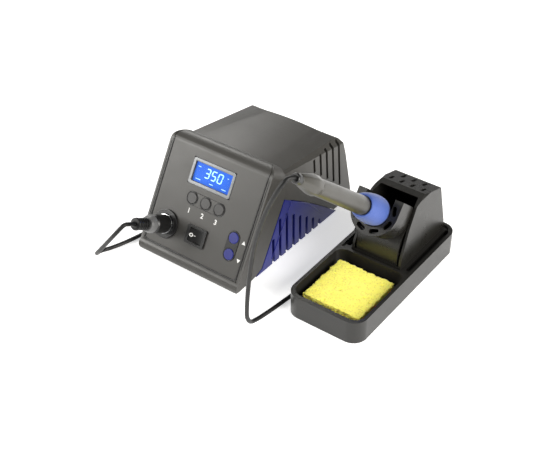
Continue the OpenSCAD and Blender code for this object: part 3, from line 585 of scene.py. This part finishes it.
# %% Sponge finish
def cellulose():
    """Dry yellow cellulose, with painted shade, darker and more orange, down in its pores."""
    finish, w = new_finish("sponge_cellulose")
    place = w.node("ShaderNodeTexCoord", out="Object")
    cells = w.node("ShaderNodeTexVoronoi", {}, {"Vector": place, "Scale": 420.0, "Randomness": 1.0})
    pore_hollows_and_shade = cells.ramp([(0.10, 1.0), (0.42, 0.0)])
    fibres = w.noise(0.9, 4.0, 0.7)
    clouds = w.noise(7, 3.0, 0.6)
    body = (fibres * 0.45 + clouds * 0.55).between((0.78, 0.66, 0.055), (0.98, 0.90, 0.16))
    # painted shade: the pores are coloured darker and more orange; the same mask also bumps them
    shadow = w.node("ShaderNodeMix", {"data_type": "RGBA"}, {
        0: pore_hollows_and_shade * 0.55, 6: body, 7: (0.55, 0.38, 0.03, 1)}, out=2)
    surface(w, shadow, fibres * 0.1 + 0.85, fibres * 0.5 - pore_hollows_and_shade * 0.7, 0.35,
            Sheen_Weight=0.3, Subsurface_Weight=0.12)
    return finish


finishes["sponge_cellulose"] = cellulose()
print("soft finishes done")


# %% Every part's finish
def paint(piece, finish):
    """Gives a piece one finish all over."""
    piece.data.materials.clear()
    piece.data.materials.append(finish)
    for face in piece.data.polygons:
        face.material_index = 0
    return piece


slot_of = {s["node"]: s["material_slot"] for s in frame["record"]["subparts"]}
for node, part in nodes.items():
    paint(part, finishes[slot_of[node]])
print(len(set(slot_of.values())), "finishes on", len(slot_of), "parts")

# %% [markdown]
# ## The floor
#
# The bench is one large sheet of pale paper, marked as a stage because it isn't part of the
# object. It glows a little, so that it stays nearly white without washing out what stands on it.

# %% Floor
bpy.ops.object.select_all(action="DESELECT")
bpy.ops.mesh.primitive_plane_add(size=8, location=(0, 0, 0))
floor = named("floor")
floor_finish, w = new_finish("floor_paper")
paper = w.noise(6, 3.0)
surface(w, paper.between((0.90, 0.90, 0.90), (0.93, 0.93, 0.93)), paper * 0.1 + 0.8,
        Emission_Color=(1.0, 1.0, 1.0, 1), Emission_Strength=0.55)
paint(floor, floor_finish)
settled(floor)
floor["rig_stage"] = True
print("floor is a paper sheet of", floor.dimensions.x, "m")

# %% [markdown]
# ## The lead
#
# The iron's lead is 4 mm of limp silicone rubber, about 1.47 m long: a length such an iron has,
# because a stiffer or shorter one would drag at the hand. It leaves the tail of the iron, drops
# in one easy bow to the table, runs back between the station and the stand, and behind the
# station its spare length is wound into a small tied coil. From there it comes forward along the
# station's left side and rises into the boot of the plug. The points repeat those of the packed
# lead, with one more that carries it on into the boot; the coil's turns come from a loop.

# %% The lead's route
LEAD_D = 4.0
drop = [(84.5, -110.7, 186.7), (84.5, -114.5, 189.9), (83.2, -120, 191.2), (80.7, -124.6, 186.8),
        (77, -127, 178.3), (71, -127.5, 165), (62.5, -126.5, 143.5), (54, -123.5, 119.5),
        (46.5, -119.5, 92), (40.3, -116, 62), (35.3, -112.5, 30), (33.2, -109.5, 16),
        (32.2, -103.5, 6.5), (32.2, -95, 3), (34, -80, 2)]
run = [(36.5, -60, 2), (39, -35, 2), (40, 0, 2), (39, 35, 2), (33, 65, 2), (22, 90, 2),
       (4, 110, 2), (-20, 122, 2), (-42, 126, 2), (-61.5, 126, 2)]
COIL_AT = (-80.0, 149.5)
COIL_R = 23.0
TURNS = 4


def coil_turns():
    """Two turns on the table, outer then inner, and two on top of them, inner then outer."""
    points = []
    for i in range(3, 24 * TURNS - 2):
        turn = i / 24
        angle = math.radians(-90 - 360 * turn)
        inner = step(turn, 1.0) - step(turn, 3.0)
        radius = COIL_R + LEAD_D / 2 * (1 - 2 * inner)
        height = LEAD_D / 2 + 0.05 + (LEAD_D + 0.05) * step(turn, 2.0)
        x = COIL_AT[0] + radius * math.cos(angle)
        y = COIL_AT[1] + radius * math.sin(angle)
        points.append((x, y, height))
    return points


def step(turn, middle):
    """0 before, 1 after, with a smooth change over a third of a turn."""
    t = min(1.0, max(0.0, (turn - middle) * 3 + 0.5))
    return t * t * (3 - 2 * t)


to_plug = [(-98.5, 126, 4.3), (-108, 125.3, 2.3), (-119, 120, 2), (-128, 110, 2), (-132, 95, 2),
           (-131, 60, 2), (-130, 20, 2), (-130, -20, 2), (-132, -50, 2), (-138, -78, 2),
           (-143.5, -95, 2.2), (-146.5, -106.5, 4), (-142.5, -116, 9), (-133, -121.5, 20),
           (-120, -124, 36), (-107.5, -124.5, 52), (-103, -122, 58.5), (-100.3, -117, 62.6),
           (-100, -110.8, 59.8), (-100, -104.4, 56.0)]


def flowing(points, spacing):
    """A smooth line through the points, with its own points about that far apart."""
    p = np.array(points, float)
    p = np.vstack([2 * p[0] - p[1], p, 2 * p[-1] - p[-2]])
    line = []
    for a, b, c, d in zip(p[:-3], p[1:-2], p[2:-1], p[3:]):
        knots = np.cumsum([0, *(np.linalg.norm(x) ** 0.5 for x in (b - a, c - b, d - c))])
        count = max(1, round(np.linalg.norm(c - b) / spacing))
        for t in np.linspace(knots[1], knots[2], count, endpoint=False):
            line.append(on_spline((a, b, c, d), knots, t))
    line.append(p[-2])
    return np.array(line)


def on_spline(four, knots, t):
    """A point of the curve that passes through the middle two of four points."""
    level = list(four)
    for width in (1, 2):
        level = [mixed(level[i], level[i + 1], knots[i], knots[i + width], t)
                 for i in range(len(level) - 1)]
    return mixed(level[0], level[1], knots[1], knots[2], t)


def mixed(a, b, start, end, t):
    """The point between a at start and b at end."""
    return ((end - t) * a + (t - start) * b) / (end - start)


lead_line = flowing(drop + run + coil_turns() + to_plug, 2.5) * MM


# %% The lead's tube
def tube(name, line, radius, sides=6):
    """A round tube of that radius along a line, made a mesh."""
    curve = bpy.data.curves.new(name, "CURVE")
    curve.dimensions = "3D"
    curve.twist_mode = "MINIMUM"
    curve.bevel_depth = radius
    curve.bevel_resolution = sides
    curve.use_fill_caps = True
    spline = curve.splines.new("POLY")
    spline.points.add(len(line) - 1)
    for point, place in zip(spline.points, line):
        point.co = (*place, 1)
    piece = bpy.data.objects.new(name, curve)
    bpy.context.scene.collection.objects.link(piece)
    only(piece)
    bpy.ops.object.convert(target="MESH")
    return outward(bpy.context.object)


lead = tube("lead", lead_line, LEAD_D / 2 * MM)
done(lead, 60)
paint(lead, finishes["lead_rubber"])
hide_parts("lead_drop", "lead_run", "lead_coil", "lead_to_plug")
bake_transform(lead)
print("lead faces:", len(lead.data.polygons))


# %% [markdown]
# ## The panel's own frame
#
# The front panel leans back, so everything on it is easiest to build flat and then carry over.
# The press of a button says which way the panel faces, and the middle of its plate says where.

# %% The panel's frame
def axis_of(joint):
    """The direction that a joint slides along or turns round."""
    return Vector(next(j for j in frame["joints"] if j["name"] == joint)["axis"]).normalized()


def matrix_of(right, up, out, origin):
    """A frame with these three directions at that point."""
    turn = Matrix((right, up, out)).transposed().to_4x4()
    return Matrix.Translation(origin) @ turn


def middle(node):
    """The middle of a part's box."""
    low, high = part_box(node)
    return (low + high) / 2


panel_out = -axis_of("button_1_press")
panel_right = Vector((1, 0, 0))
panel_up = panel_out.cross(panel_right)


def faces_in(place, node):
    """Lowest and highest corner of a part, seen in a frame."""
    inverse = place.inverted()
    seen = np.array([inverse @ v.co for v in nodes[node].data.vertices])
    return Vector(seen.min(0)), Vector(seen.max(0))


def panel_at(node):
    """The panel's frame at the middle of a part's front, lying on that front."""
    place = matrix_of(panel_right, panel_up, panel_out, middle(node))
    low, high = faces_in(place, node)
    shift = Matrix.Translation((0, (low.y + high.y) / 2, high.z))
    return place @ shift


print("the panel leans back", round(math.degrees(math.acos(panel_up.z)), 1), "degrees")

# %% [markdown]
# ## The station's and the stand's shells
#
# The front frame, its plate, the base, the rear plate, the stand and the small plastic parts on
# them all take the same treatment: a narrow rounding, wider on the big shells than on the small
# ones. The cover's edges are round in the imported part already, so its width is nothing. The frame
# of the two arrow keys is painted blacker than its part.

# %% Shells
shells = {}
SHELL_WIDTHS = {
    "front_bezel": 0.9, "front_panel": 0.35, "top_cover": 0, "base_pan": 0.5, "rear_panel": 0.4,
    "side_panel_left": 0.45, "side_panel_right": 0.45, "lcd_frame": 0.45, "arrow_surround": 0.3,
    "switch_housing": 0.4, "power_rocker": 0.45, "socket_flange": 0.6, "socket_ring": 0.35,
    "plug_body": 0.6, "mains_inlet": 0.4, "fuse_drawer": 0.3, "station_feet": 0.4,
    "stand_feet": 0.2, "tray_base": 0.7, "holder_hood": 0.8, "holder_cradle": 0.6}
for node, width in SHELL_WIDTHS.items():
    shells[node] = paint(rounded(node, width), finishes[slot_of[node]])
paint(shells["arrow_surround"], finishes["black_plastic"])
print(len(shells), "rounded shells")

# %% Round keys
KEYS = ("button_1", "button_2", "button_3", "button_up", "button_down")
for node in KEYS:
    shells[node] = paint(rounded(node, 0.7, 4), finishes[slot_of[node]])
print("five keys")

# %% [markdown]
# ## Painted shade in the seams
#
# The gap round the plate's sides and foot, the groove down the frame on each side of it, and the
# gap round each key are painted shade: a black piece lies in each of these hollows where it is in
# shadow. Along the plate and the frame it is a round black tube, sunk until only its back shows:
# a line is cast at the panel at each point to find its surface. Round the keys it is a flattened
# ring.

# %% Painted shade along the plate and the frame
def panel_spot(x, y, piece, sunk):
    """The point a little under a piece's surface at a place in the plate's frame, in millimetres."""
    start = plate_place @ Vector((x * MM, y * MM, 40 * MM))
    found, spot, normal, _ = piece.ray_cast(start, -panel_out)
    return spot - normal * sunk * MM if found else None


def sunk_shade_tube(name, places, piece, radius, sunk):
    """A round black tube of painted shade, let into a piece along places in the plate's frame."""
    spots = [panel_spot(x, y, piece, sunk) for x, y in places]
    made = tube(name, [spot for spot in spots if spot], radius * MM, 3)
    done(made, 60)
    paint(made, finishes["black_plastic"])
    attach(made, STATION)
    return made


plate_place = panel_at("front_panel")
plate_high = faces_in(plate_place, "front_panel")[1] / MM
edge_x, edge_y = plate_high.x - 0.25, plate_high.y - 0.5
heights = [edge_y - 3.0 - i * (2 * edge_y - 7.0) / 40 for i in range(41)]
across = [-edge_x + 4.0 + i * (2 * edge_x - 8.0) / 30 for i in range(31)]
corner = [(-edge_x + 0.4, -edge_y + 2.2), (-edge_x + 1.9, -edge_y + 0.6)]
left_side = [(-edge_x, y) for y in heights]
right_side = [(edge_x, y) for y in reversed(heights)]
foot = corner + [(x, -edge_y) for x in across] + [(-x, y) for x, y in reversed(corner)]
round_trip = left_side + foot + right_side
# a black tube of painted shade in the gap round the plate's sides and foot
plate_gap_shade = sunk_shade_tube("plate_gap_shade", round_trip, shells["front_panel"], 1.2, 0.75)
# a black tube of painted shade in the frame's groove on each side of the plate
for side in (-1, 1):
    line = [(side * (plate_high.x + 1.9), y) for y in heights[4:-3]]
    sunk_shade_tube("frame_line_" + ("left" if side < 0 else "right"), line, shells["front_bezel"], 0.6, 0.40)
print("plate seal:", len(plate_gap_shade.data.polygons), "faces")

# %% Painted shade round the keys
def joined(pieces, name):
    """Several pieces as one."""
    only(pieces[0])
    for piece in pieces[1:]:
        piece.select_set(True)
    bpy.ops.object.join()
    return named(name)


def on_plate(at, lift_mm=0.0):
    """The panel's frame at the place on the plate straight under or over a point."""
    level = at - panel_out * ((at - plate_place.translation).dot(panel_out) - lift_mm * MM)
    return matrix_of(panel_right, panel_up, panel_out, level)


key_shade_pieces = []
# each flattened black ring is painted shade in the gap round a key
for node in KEYS:
    bpy.ops.mesh.primitive_torus_add(major_radius=6.0 * MM, minor_radius=0.6 * MM, major_segments=56,
                                     minor_segments=8)
    ring = named(node + "_collar")
    ring.scale = (1, 1, 0.45)
    settled(ring)
    key_shade_pieces.append(settled(ring, on_plate(middle(node))))
key_shade_rings = joined(key_shade_pieces, "key_gap_shade")
done(key_shade_rings, 60)
paint(key_shade_rings, finishes["black_plastic"])
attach(key_shade_rings, STATION)
print("key collars:", len(key_shade_rings.data.polygons), "faces")

# %% [markdown]
# ## The digits of the display
#
# A seven-segment digit is seven copies of one long hexagon. One segment is modelled: a thin box
# whose ends are bevelled to points. It is copied to each lit place, and the copies are joined.
# Shorter bars near the edges stand for the display's small marks.

# %% One segment
SEGMENTS = {"3": "abcdg", "5": "acdfg", "0": "abcdef"}
DIGIT_W, DIGIT_H, BAR = 4.6, 8.6, 1.05
DIGIT_PITCH, DIGIT_RIGHT, DIGIT_UP = 7.4, 0.6, 1.6
SLANT = math.tan(math.radians(6))


def bar(name, length, thick, high=0.05):
    """A flat bar with pointed ends, lying along X."""
    bpy.ops.mesh.primitive_cube_add(size=1, location=(0, 0, high / 2 * MM))
    piece = named(name)
    piece.scale = (length * MM, thick * MM, high * MM)
    settled(piece)
    pick_edges(piece, lambda at, along: abs(along.z) > 0.9)
    bpy.ops.mesh.bevel(offset=thick * 0.46 * MM, segments=1, affect="EDGES")
    bpy.ops.object.mode_set(mode="OBJECT")
    return piece


def copy_of(piece, name, place):
    """A copy of a finished piece, with a mesh of its own, carried to a place."""
    twin = bpy.data.objects.new(name, piece.data.copy())
    bpy.context.scene.collection.objects.link(twin)
    twin.data.transform(place)
    return twin


upright = Matrix.Rotation(math.pi / 2, 4, "Z")
half_h = DIGIT_H / 2
segment_places = {"a": (0, half_h, False), "g": (0, 0, False), "d": (0, -half_h, False),
                  "b": (1, half_h / 2, True), "c": (1, -half_h / 2, True),
                  "f": (-1, half_h / 2, True), "e": (-1, -half_h / 2, True)}
lean = Matrix(((1, SLANT, 0, 0), (0, 1, 0, 0), (0, 0, 1, 0), (0, 0, 0, 1)))
screen_place = panel_at("lcd_module")
one_bar = bar("one_bar", half_h - 0.3, BAR)
wide_bar = bar("wide_bar", DIGIT_W - 0.3, BAR)
lit = []
for i, digit in enumerate("350"):
    for key in SEGMENTS[digit]:
        x, y, stands = segment_places[key]
        right = x * DIGIT_W / 2 + (i - 1) * DIGIT_PITCH + DIGIT_RIGHT
        spot = Matrix.Translation((right * MM, (y + DIGIT_UP) * MM, 0))
        bar_piece = one_bar if stands else wide_bar
        lie = spot @ (upright if stands else Matrix.Identity(4))
        lit.append(copy_of(bar_piece, "segment", screen_place @ lean @ lie))
SMALL_MARKS = ((-17.5, 5.2, 3.6), (-15.5, -6.6, 6.0), (0.0, -6.8, 4.6),
               (15.0, -6.8, 5.4), (16.5, 4.6, 1.6))
for x, y, length in SMALL_MARKS:
    small = bar("small_bar", length, 0.55)
    lit.append(copy_of(small, "mark", screen_place @ Matrix.Translation((x * MM, y * MM, 0))))
    bpy.data.objects.remove(small)
for spare in (one_bar, wide_bar):
    bpy.data.objects.remove(spare)
digits = paint(joined(lit, "display_digits"), segment_light)
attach(digits, STATION)
print("display digits:", len(digits.data.polygons), "faces")

# %% [markdown]
# ## Printed marks
#
# The marks on the panel are ink, a few hundredths of a millimetre thick: the numbers of the three
# preset keys, two triangles beside the arrow keys, and a ring and a dash on the power switch.
# The numbers are text turned into a mesh, and a triangle is a very flat cylinder with three sides.

# %% Numbers and triangles
def ink(piece, name, place):
    """Lays a printed mark on its surface."""
    piece.name = name
    piece.data.name = name
    settled(piece, place)
    paint(piece, print_ink)
    return piece


def written(text, size, name, place):
    """A generic character as thin ink."""
    bpy.ops.object.text_add(location=(0, 0, 0))
    mark = bpy.context.object
    mark.data.body = text
    mark.data.size = size * MM
    mark.data.align_x = "CENTER"
    mark.data.align_y = "CENTER"
    mark.data.extrude = 0.02 * MM
    mark.data.offset = 0.17 * MM
    only(mark)
    bpy.ops.object.convert(target="MESH")
    return ink(bpy.context.object, name, place)


def triangle(size, turn, name, place):
    """A small solid triangle."""
    bpy.ops.mesh.primitive_cylinder_add(vertices=3, radius=size * MM, depth=0.04 * MM,
                                        rotation=(0, 0, turn))
    return ink(bpy.context.object, name, place)


INK_LIFT = 0.03
NUMBER_SIZE, TRIANGLE_SIZE = 6.6, 2.3
marks = []
for text, node in (("1", "button_1"), ("2", "button_2"), ("3", "button_3")):
    at = middle(node) - panel_up * 12.4 * MM
    marks.append(written(text, NUMBER_SIZE, "number_" + text, on_plate(at, INK_LIFT)))
for node, turn in (("button_up", 0.0), ("button_down", math.pi)):
    at = middle(node) + panel_right * 11.6 * MM - panel_up * (1.6 if turn else 0.8) * MM
    marks.append(triangle(TRIANGLE_SIZE, turn, node + "_mark", on_plate(at, INK_LIFT)))
panel_marks = joined(marks, "panel_marks")
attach(panel_marks, STATION)
print("panel marks:", len(panel_marks.data.polygons), "faces")

# %% [markdown]
# ## The power switch's marks
#
# The rocker is tilted, so its ring and dash are laid on whatever face lies under them: a line is
# cast at the rocker along the panel's facing, and the mark takes the direction of the face it hits.

# %% Marks on the rocker
def on_face(piece, above):
    """The frame that lies on a piece straight under a point over the panel."""
    found, spot, normal, _ = piece.ray_cast(above, -panel_out)
    up = (panel_up - normal * panel_up.dot(normal)).normalized()
    return matrix_of(up.cross(normal), up, normal, spot + normal * 0.02 * MM)


rocker = shells["power_rocker"]
rocker_middle = middle("power_rocker") + panel_out * 20 * MM
ring_mark = written("O", 4.6, "ring_mark", on_face(rocker, rocker_middle - panel_right * 4.6 * MM))
dash = bar("dash_mark", 2.0, 0.6, 0.04)
dash_mark = ink(dash, "dash_mark", on_face(rocker, rocker_middle - panel_right * 1.4 * MM))
rocker_marks = joined([ring_mark, dash_mark], "rocker_marks")
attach(rocker_marks, "power_rocker_body")
print("rocker marks:", len(rocker_marks.data.polygons), "faces")

# %% [markdown]
# ## The blue side panels' raised border
#
# A thin bead runs round the ribs of each blue panel, a few millimetres in from its front and top
# edges. It is a half-sunk tube: its line is laid on the panel by casting a line at every point.

# %% Bead on the blue panels
def bead(side):
    """The raised line on one blue panel; side is -1 on the left and 1 on the right."""
    node = "side_panel_right" if side > 0 else "side_panel_left"
    shell = shells[node]
    low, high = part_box(node)
    top = high.z - 4.6 * MM
    front, back = low.y + 12 * MM, high.y - 16 * MM
    peak = low.y + (high.z - low.z) * 0.535 + 23.5 * MM
    outline = [(front + 12 * MM, low.z + 7 * MM), (front + 26.5 * MM, low.z + 30 * MM),
               (peak - 1.5 * MM, top - 3 * MM), (peak + 2.5 * MM, top),
               (peak + 11 * MM, top - 4.2 * MM), ((peak + back) / 2, (top + low.z) / 2 + 3.5 * MM),
               (back - 6 * MM, low.z + 9 * MM)]
    line = []
    for y, z in flowing([(0, y, z) for y, z in outline], 1.5 * MM)[:, 1:]:
        found, spot, _, _ = shell.ray_cast(Vector((side * 0.3, y, z)), Vector((-side, 0, 0)))
        if found:
            line.append(spot)
    return tube(node + "_bead", line, 0.55 * MM, 3)


for side in (-1, 1):
    piece = bead(side)
    done(piece, 60)
    paint(piece, finishes["blue_plastic"])
    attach(piece, STATION)
    print(piece.name, len(piece.data.polygons), "faces")

# %% [markdown]
# ## The tie, the grommet and the nut
#
# Three small parts have the right shape already and only need their edges rounded: the strap
# that holds the coil, the rubber ring at the iron's tail and the nut that holds its barrel.

# %% Small rounded parts
for node, width in (("coil_tie", 0.3), ("tail_grommet", 0.4), ("barrel_nut", 0.4)):
    shells[node] = paint(rounded(node, width), finishes[slot_of[node]])
    print(shells[node].name, len(shells[node].data.polygons), "faces")

# %% [markdown]
# ## The iron's frame
#
# The iron's parts are all turned round one line, which the iron's own slide follows. A profile is
# a list of (distance along the line, radius) in millimetres, counted from near the tail's mouth.

# %% Turning a profile
iron_in = -axis_of("iron_slide")
iron_side = Vector((1, 0, 0))
at_grommet = matrix_of(iron_side, iron_in.cross(iron_side), iron_in, middle("tail_grommet"))
mouth = faces_in(at_grommet, "tail_grommet")[0].z
iron_place = at_grommet @ Matrix.Translation((0, 0, mouth + 4 * MM))


def turned(name, profile, steps, place):
    """A closed ring turned round a frame's line from its (distance, radius) outline."""
    bpy.ops.mesh.primitive_circle_add(vertices=len(profile), radius=MM)
    piece = named(name)
    for vertex, (along, radius) in zip(piece.data.vertices, profile):
        vertex.co = (radius * MM, 0, along * MM)
    only(piece)
    bpy.ops.object.mode_set(mode="EDIT")
    bpy.ops.mesh.select_all(action="SELECT")
    bpy.ops.mesh.spin(steps=steps, angle=2 * math.pi, center=(0, 0, 0), axis=(0, 0, 1))
    bpy.ops.object.mode_set(mode="OBJECT")
    settled(piece, place)
    return outward(piece)


def span_of(node):
    """Where a part starts and ends along the iron's line, in millimetres."""
    low, high = faces_in(iron_place, node)
    return low.z / MM, high.z / MM


print("the grip lies from", [round(x, 1) for x in span_of("grip_sleeve")], "mm from the tail")

# %% [markdown]
# ## The grip
#
# The grip swells from the handle to its widest place where it rests in the holder, and rounds in
# again towards the nut. It is turned from a short profile, then subdivided so that the outline
# is one smooth curve, and the half nearer the handle is pressed in by shallow rings that keep the
# fingers from slipping.

# %% Grip
g0, g1 = span_of("grip_sleeve")
bore = 7.35
grip_profile = [(g0, bore), (g0, 10.0), (g0 + 0.9, 11.0), (g0 + 6, 12.3), (g0 + 13, 13.4),
                (g0 + 21, 13.95), (g0 + 30, 13.95), (g0 + 36, 13.1), (g0 + 41, 11.0),
                (g1 - 0.6, 9.0), (g1, 8.0), (g1, bore)]
grip = turned("grip", grip_profile, 48, iron_place)
modified(grip, "SUBSURF", levels=2, render_levels=2)
RING_PITCH, RING_DEEP = 1.9 * MM, 0.10 * MM
for vertex in grip.data.vertices:
    seen = iron_place.inverted() @ vertex.co
    radius = math.hypot(seen.x, seen.y)
    inset = max(0.0, math.sin(2 * math.pi * seen.z / RING_PITCH)) * RING_DEEP
    if radius > 9.5 * MM and seen.z < (g0 + 24) * MM:
        vertex.co -= (iron_place.to_3x3() @ Vector((seen.x, seen.y, 0))).normalized() * inset
done(grip, 60)
paint(grip, finishes["grip_rubber"])
ride_like(grip, "grip_sleeve")
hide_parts("grip_sleeve")
print("grip:", len(grip.data.polygons), "faces")

# %% [markdown]
# ## The plug's collar and boot
#
# A smooth cone screws down on the plug, and a short rubber boot with four ribs and a round end
# comes out of it and keeps the lead from kinking. Both are turned round the plug's own line.

# %% Collar and boot
socket_place = matrix_of(panel_right, panel_up, panel_out, panel_at("socket_flange").translation)
c0 = faces_in(socket_place, "plug_collar")[0].z / MM
b1 = faces_in(socket_place, "plug_boot")[1].z / MM
lead_r = LEAD_D / 2
boot_end = c0 + 24.5
collar_profile = [(c0, lead_r), (c0, 8.3), (c0 + 0.8, 8.8), (c0 + 2.2, 8.7), (c0 + 7.0, 6.9),
                  (c0 + 7.4, 6.4), (c0 + 7.4, lead_r)]
boot_profile = [(c0 + 7.2, lead_r), (c0 + 7.2, 4.9)]
for i in range(4):
    start, rib_r = c0 + 9.0 + i * 2.8, 6.0 - i * 0.12
    boot_profile += [(start, 5.0), (start + 0.2, rib_r), (start + 1.4, rib_r), (start + 1.6, 4.9)]
boot_profile += [(boot_end - 3.4, 4.9), (boot_end - 3.2, 6.0), (boot_end - 0.8, 5.9),
                 (boot_end - 0.2, 5.2), (boot_end, 3.6), (boot_end, lead_r)]
plug_pieces = (("plug_collar_cone", "plug_collar", collar_profile, "collar_plastic"),
               ("plug_boot_ribbed", "plug_boot", boot_profile, "lead_rubber"))
for name, node, profile, finish in plug_pieces:
    piece = turned(name, profile, 48, socket_place)
    modified(piece, "BEVEL", width=0.18 * MM, segments=2, limit_method="ANGLE",
             angle_limit=math.radians(30))
    done(piece, 40)
    paint(piece, finishes[finish])
    ride_like(piece, node)
    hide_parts(node)
    shells[node] = piece
print("boot ends", round(boot_end, 1), "mm out, its solid", round(b1, 1), "mm")

# %% [markdown]
# ## The handle's tail
#
# Behind the round tube the handle is eight-sided, so that the iron doesn't roll off the bench,
# and it narrows in flats to the rubber ring where the lead comes in. Eight steps of a turn make
# the flats, and a bevel softens the edges between them.

# %% Tail and tube
t0, t1 = span_of("handle_tail")
tail_profile = [(t0, 2.3), (t0, 4.9), (t0 + 3, 5.7), (t0 + 11, 7.2), (t0 + 20, 8.7), (t0 + 29, 8.9),
                (t0 + 31, 8.2), (t0 + 31, 6.0), (t1, 6.0), (t1, 2.3)]
tail = turned("tail", tail_profile, 8, iron_place)
modified(tail, "BEVEL", width=0.7 * MM, segments=3, limit_method="ANGLE",
         angle_limit=math.radians(20))
done(tail, 25)
paint(tail, finishes["handle_plastic"])
ride_like(tail, "handle_tail")
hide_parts("handle_tail")
shells["handle_tube"] = paint(rounded("handle_tube", 0.4), finishes["handle_plastic"])
print("tail:", len(tail.data.polygons), "faces")

# %% [markdown]
# ## The sponge
#
# Dry cellulose foam is sawn to size, so its sides are ragged and its corners crumble, while its
# top is flat but for pores of every size. It starts as a finely subdivided block the size of its
# part. Its edges are drawn in by slow noise, and each pore is a small hollow pressed into
# whatever surface is near. The pores' places come from a seeded generator, so the sponge is the
# same each time.

# %% Sponge
def noise_field(points, size_mm, seed):
    """Slow pseudo-random waves over points, between about -1 and 1."""
    rng = np.random.default_rng(seed)
    waves = rng.normal(size=(9, 3))
    waves /= np.linalg.norm(waves, axis=1)[:, None]
    turns = rng.uniform(0.6, 1.7, 9)[:, None] * waves * (2 * math.pi / (size_mm * MM))
    return np.sin(points @ turns.T + rng.uniform(0, 2 * math.pi, 9)).sum(1) / 4.0


low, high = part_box("sponge")
bpy.ops.object.select_all(action="DESELECT")
bpy.ops.mesh.primitive_cube_add(size=1, location=(low + high) / 2, scale=high - low)
sponge = named("sponge_block")
settled(sponge)
only(sponge)
bpy.ops.object.mode_set(mode="EDIT")
bpy.ops.mesh.select_all(action="SELECT")
bpy.ops.mesh.subdivide(number_cuts=90)
bpy.ops.object.mode_set(mode="OBJECT")
points = np.array([v.co for v in sponge.data.vertices])
normals = np.array([v.normal for v in sponge.data.vertices])
centre, half = np.array((low + high) / 2), np.array((high - low) / 2)
beside = np.abs(points - centre) / half
ragged = (np.clip(noise_field(points, 9, 1), 0, 1) * 1.1
          + np.clip(noise_field(points, 3.2, 2), 0, 1) * 0.6)
rim = np.clip((beside[:, :2].max(1) - 0.93) / 0.07, 0, 1) ** 2
upper = points[:, 2] > low.z + 1.0 * MM
outwards = np.sign(points - centre)[:, :2] * (beside[:, :2] > 0.93)
points[:, :2] -= outwards * ((ragged + 0.5) * rim * MM)[:, None]
points[:, 2] -= upper * rim * (0.35 + 0.6 * np.clip(noise_field(points, 5, 3), -0.4, 1)) * MM
on_top = (beside[:, 2] > 0.98) * upper
points[:, 2] -= on_top * (0.25 * np.clip(noise_field(points, 12, 4) + 0.4, 0, 1)) * MM
rng = np.random.default_rng(7)
for size, count in ((1.6, 60), (1.0, 260), (0.65, 700)):
    for spot in rng.choice(len(points), count, replace=False):
        radius = size * rng.uniform(0.6, 1.15) * MM
        away = np.linalg.norm(points - points[spot], axis=1)
        near = away < radius
        deep = radius * rng.uniform(0.6, 1.0) * (1 - (away[near] / radius) ** 2)
        points[near] -= normals[near] * deep[:, None]
points = np.clip(points, np.array(low), np.array(high))
sponge.data.vertices.foreach_set("co", points.astype(np.float32).ravel())
sponge.data.update()
done(sponge, 180)
paint(sponge, finishes["sponge_cellulose"])
ride_like(sponge, "sponge")
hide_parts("sponge")
print("sponge:", len(sponge.data.polygons), "faces")

# %% [markdown]

# %% [markdown]
# ## The end
#
# The box of the finished model is printed.

# %% The finished model's box
low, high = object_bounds()
print("visual model spans", [round(x, 4) for x in low], [round(x, 4) for x in high])
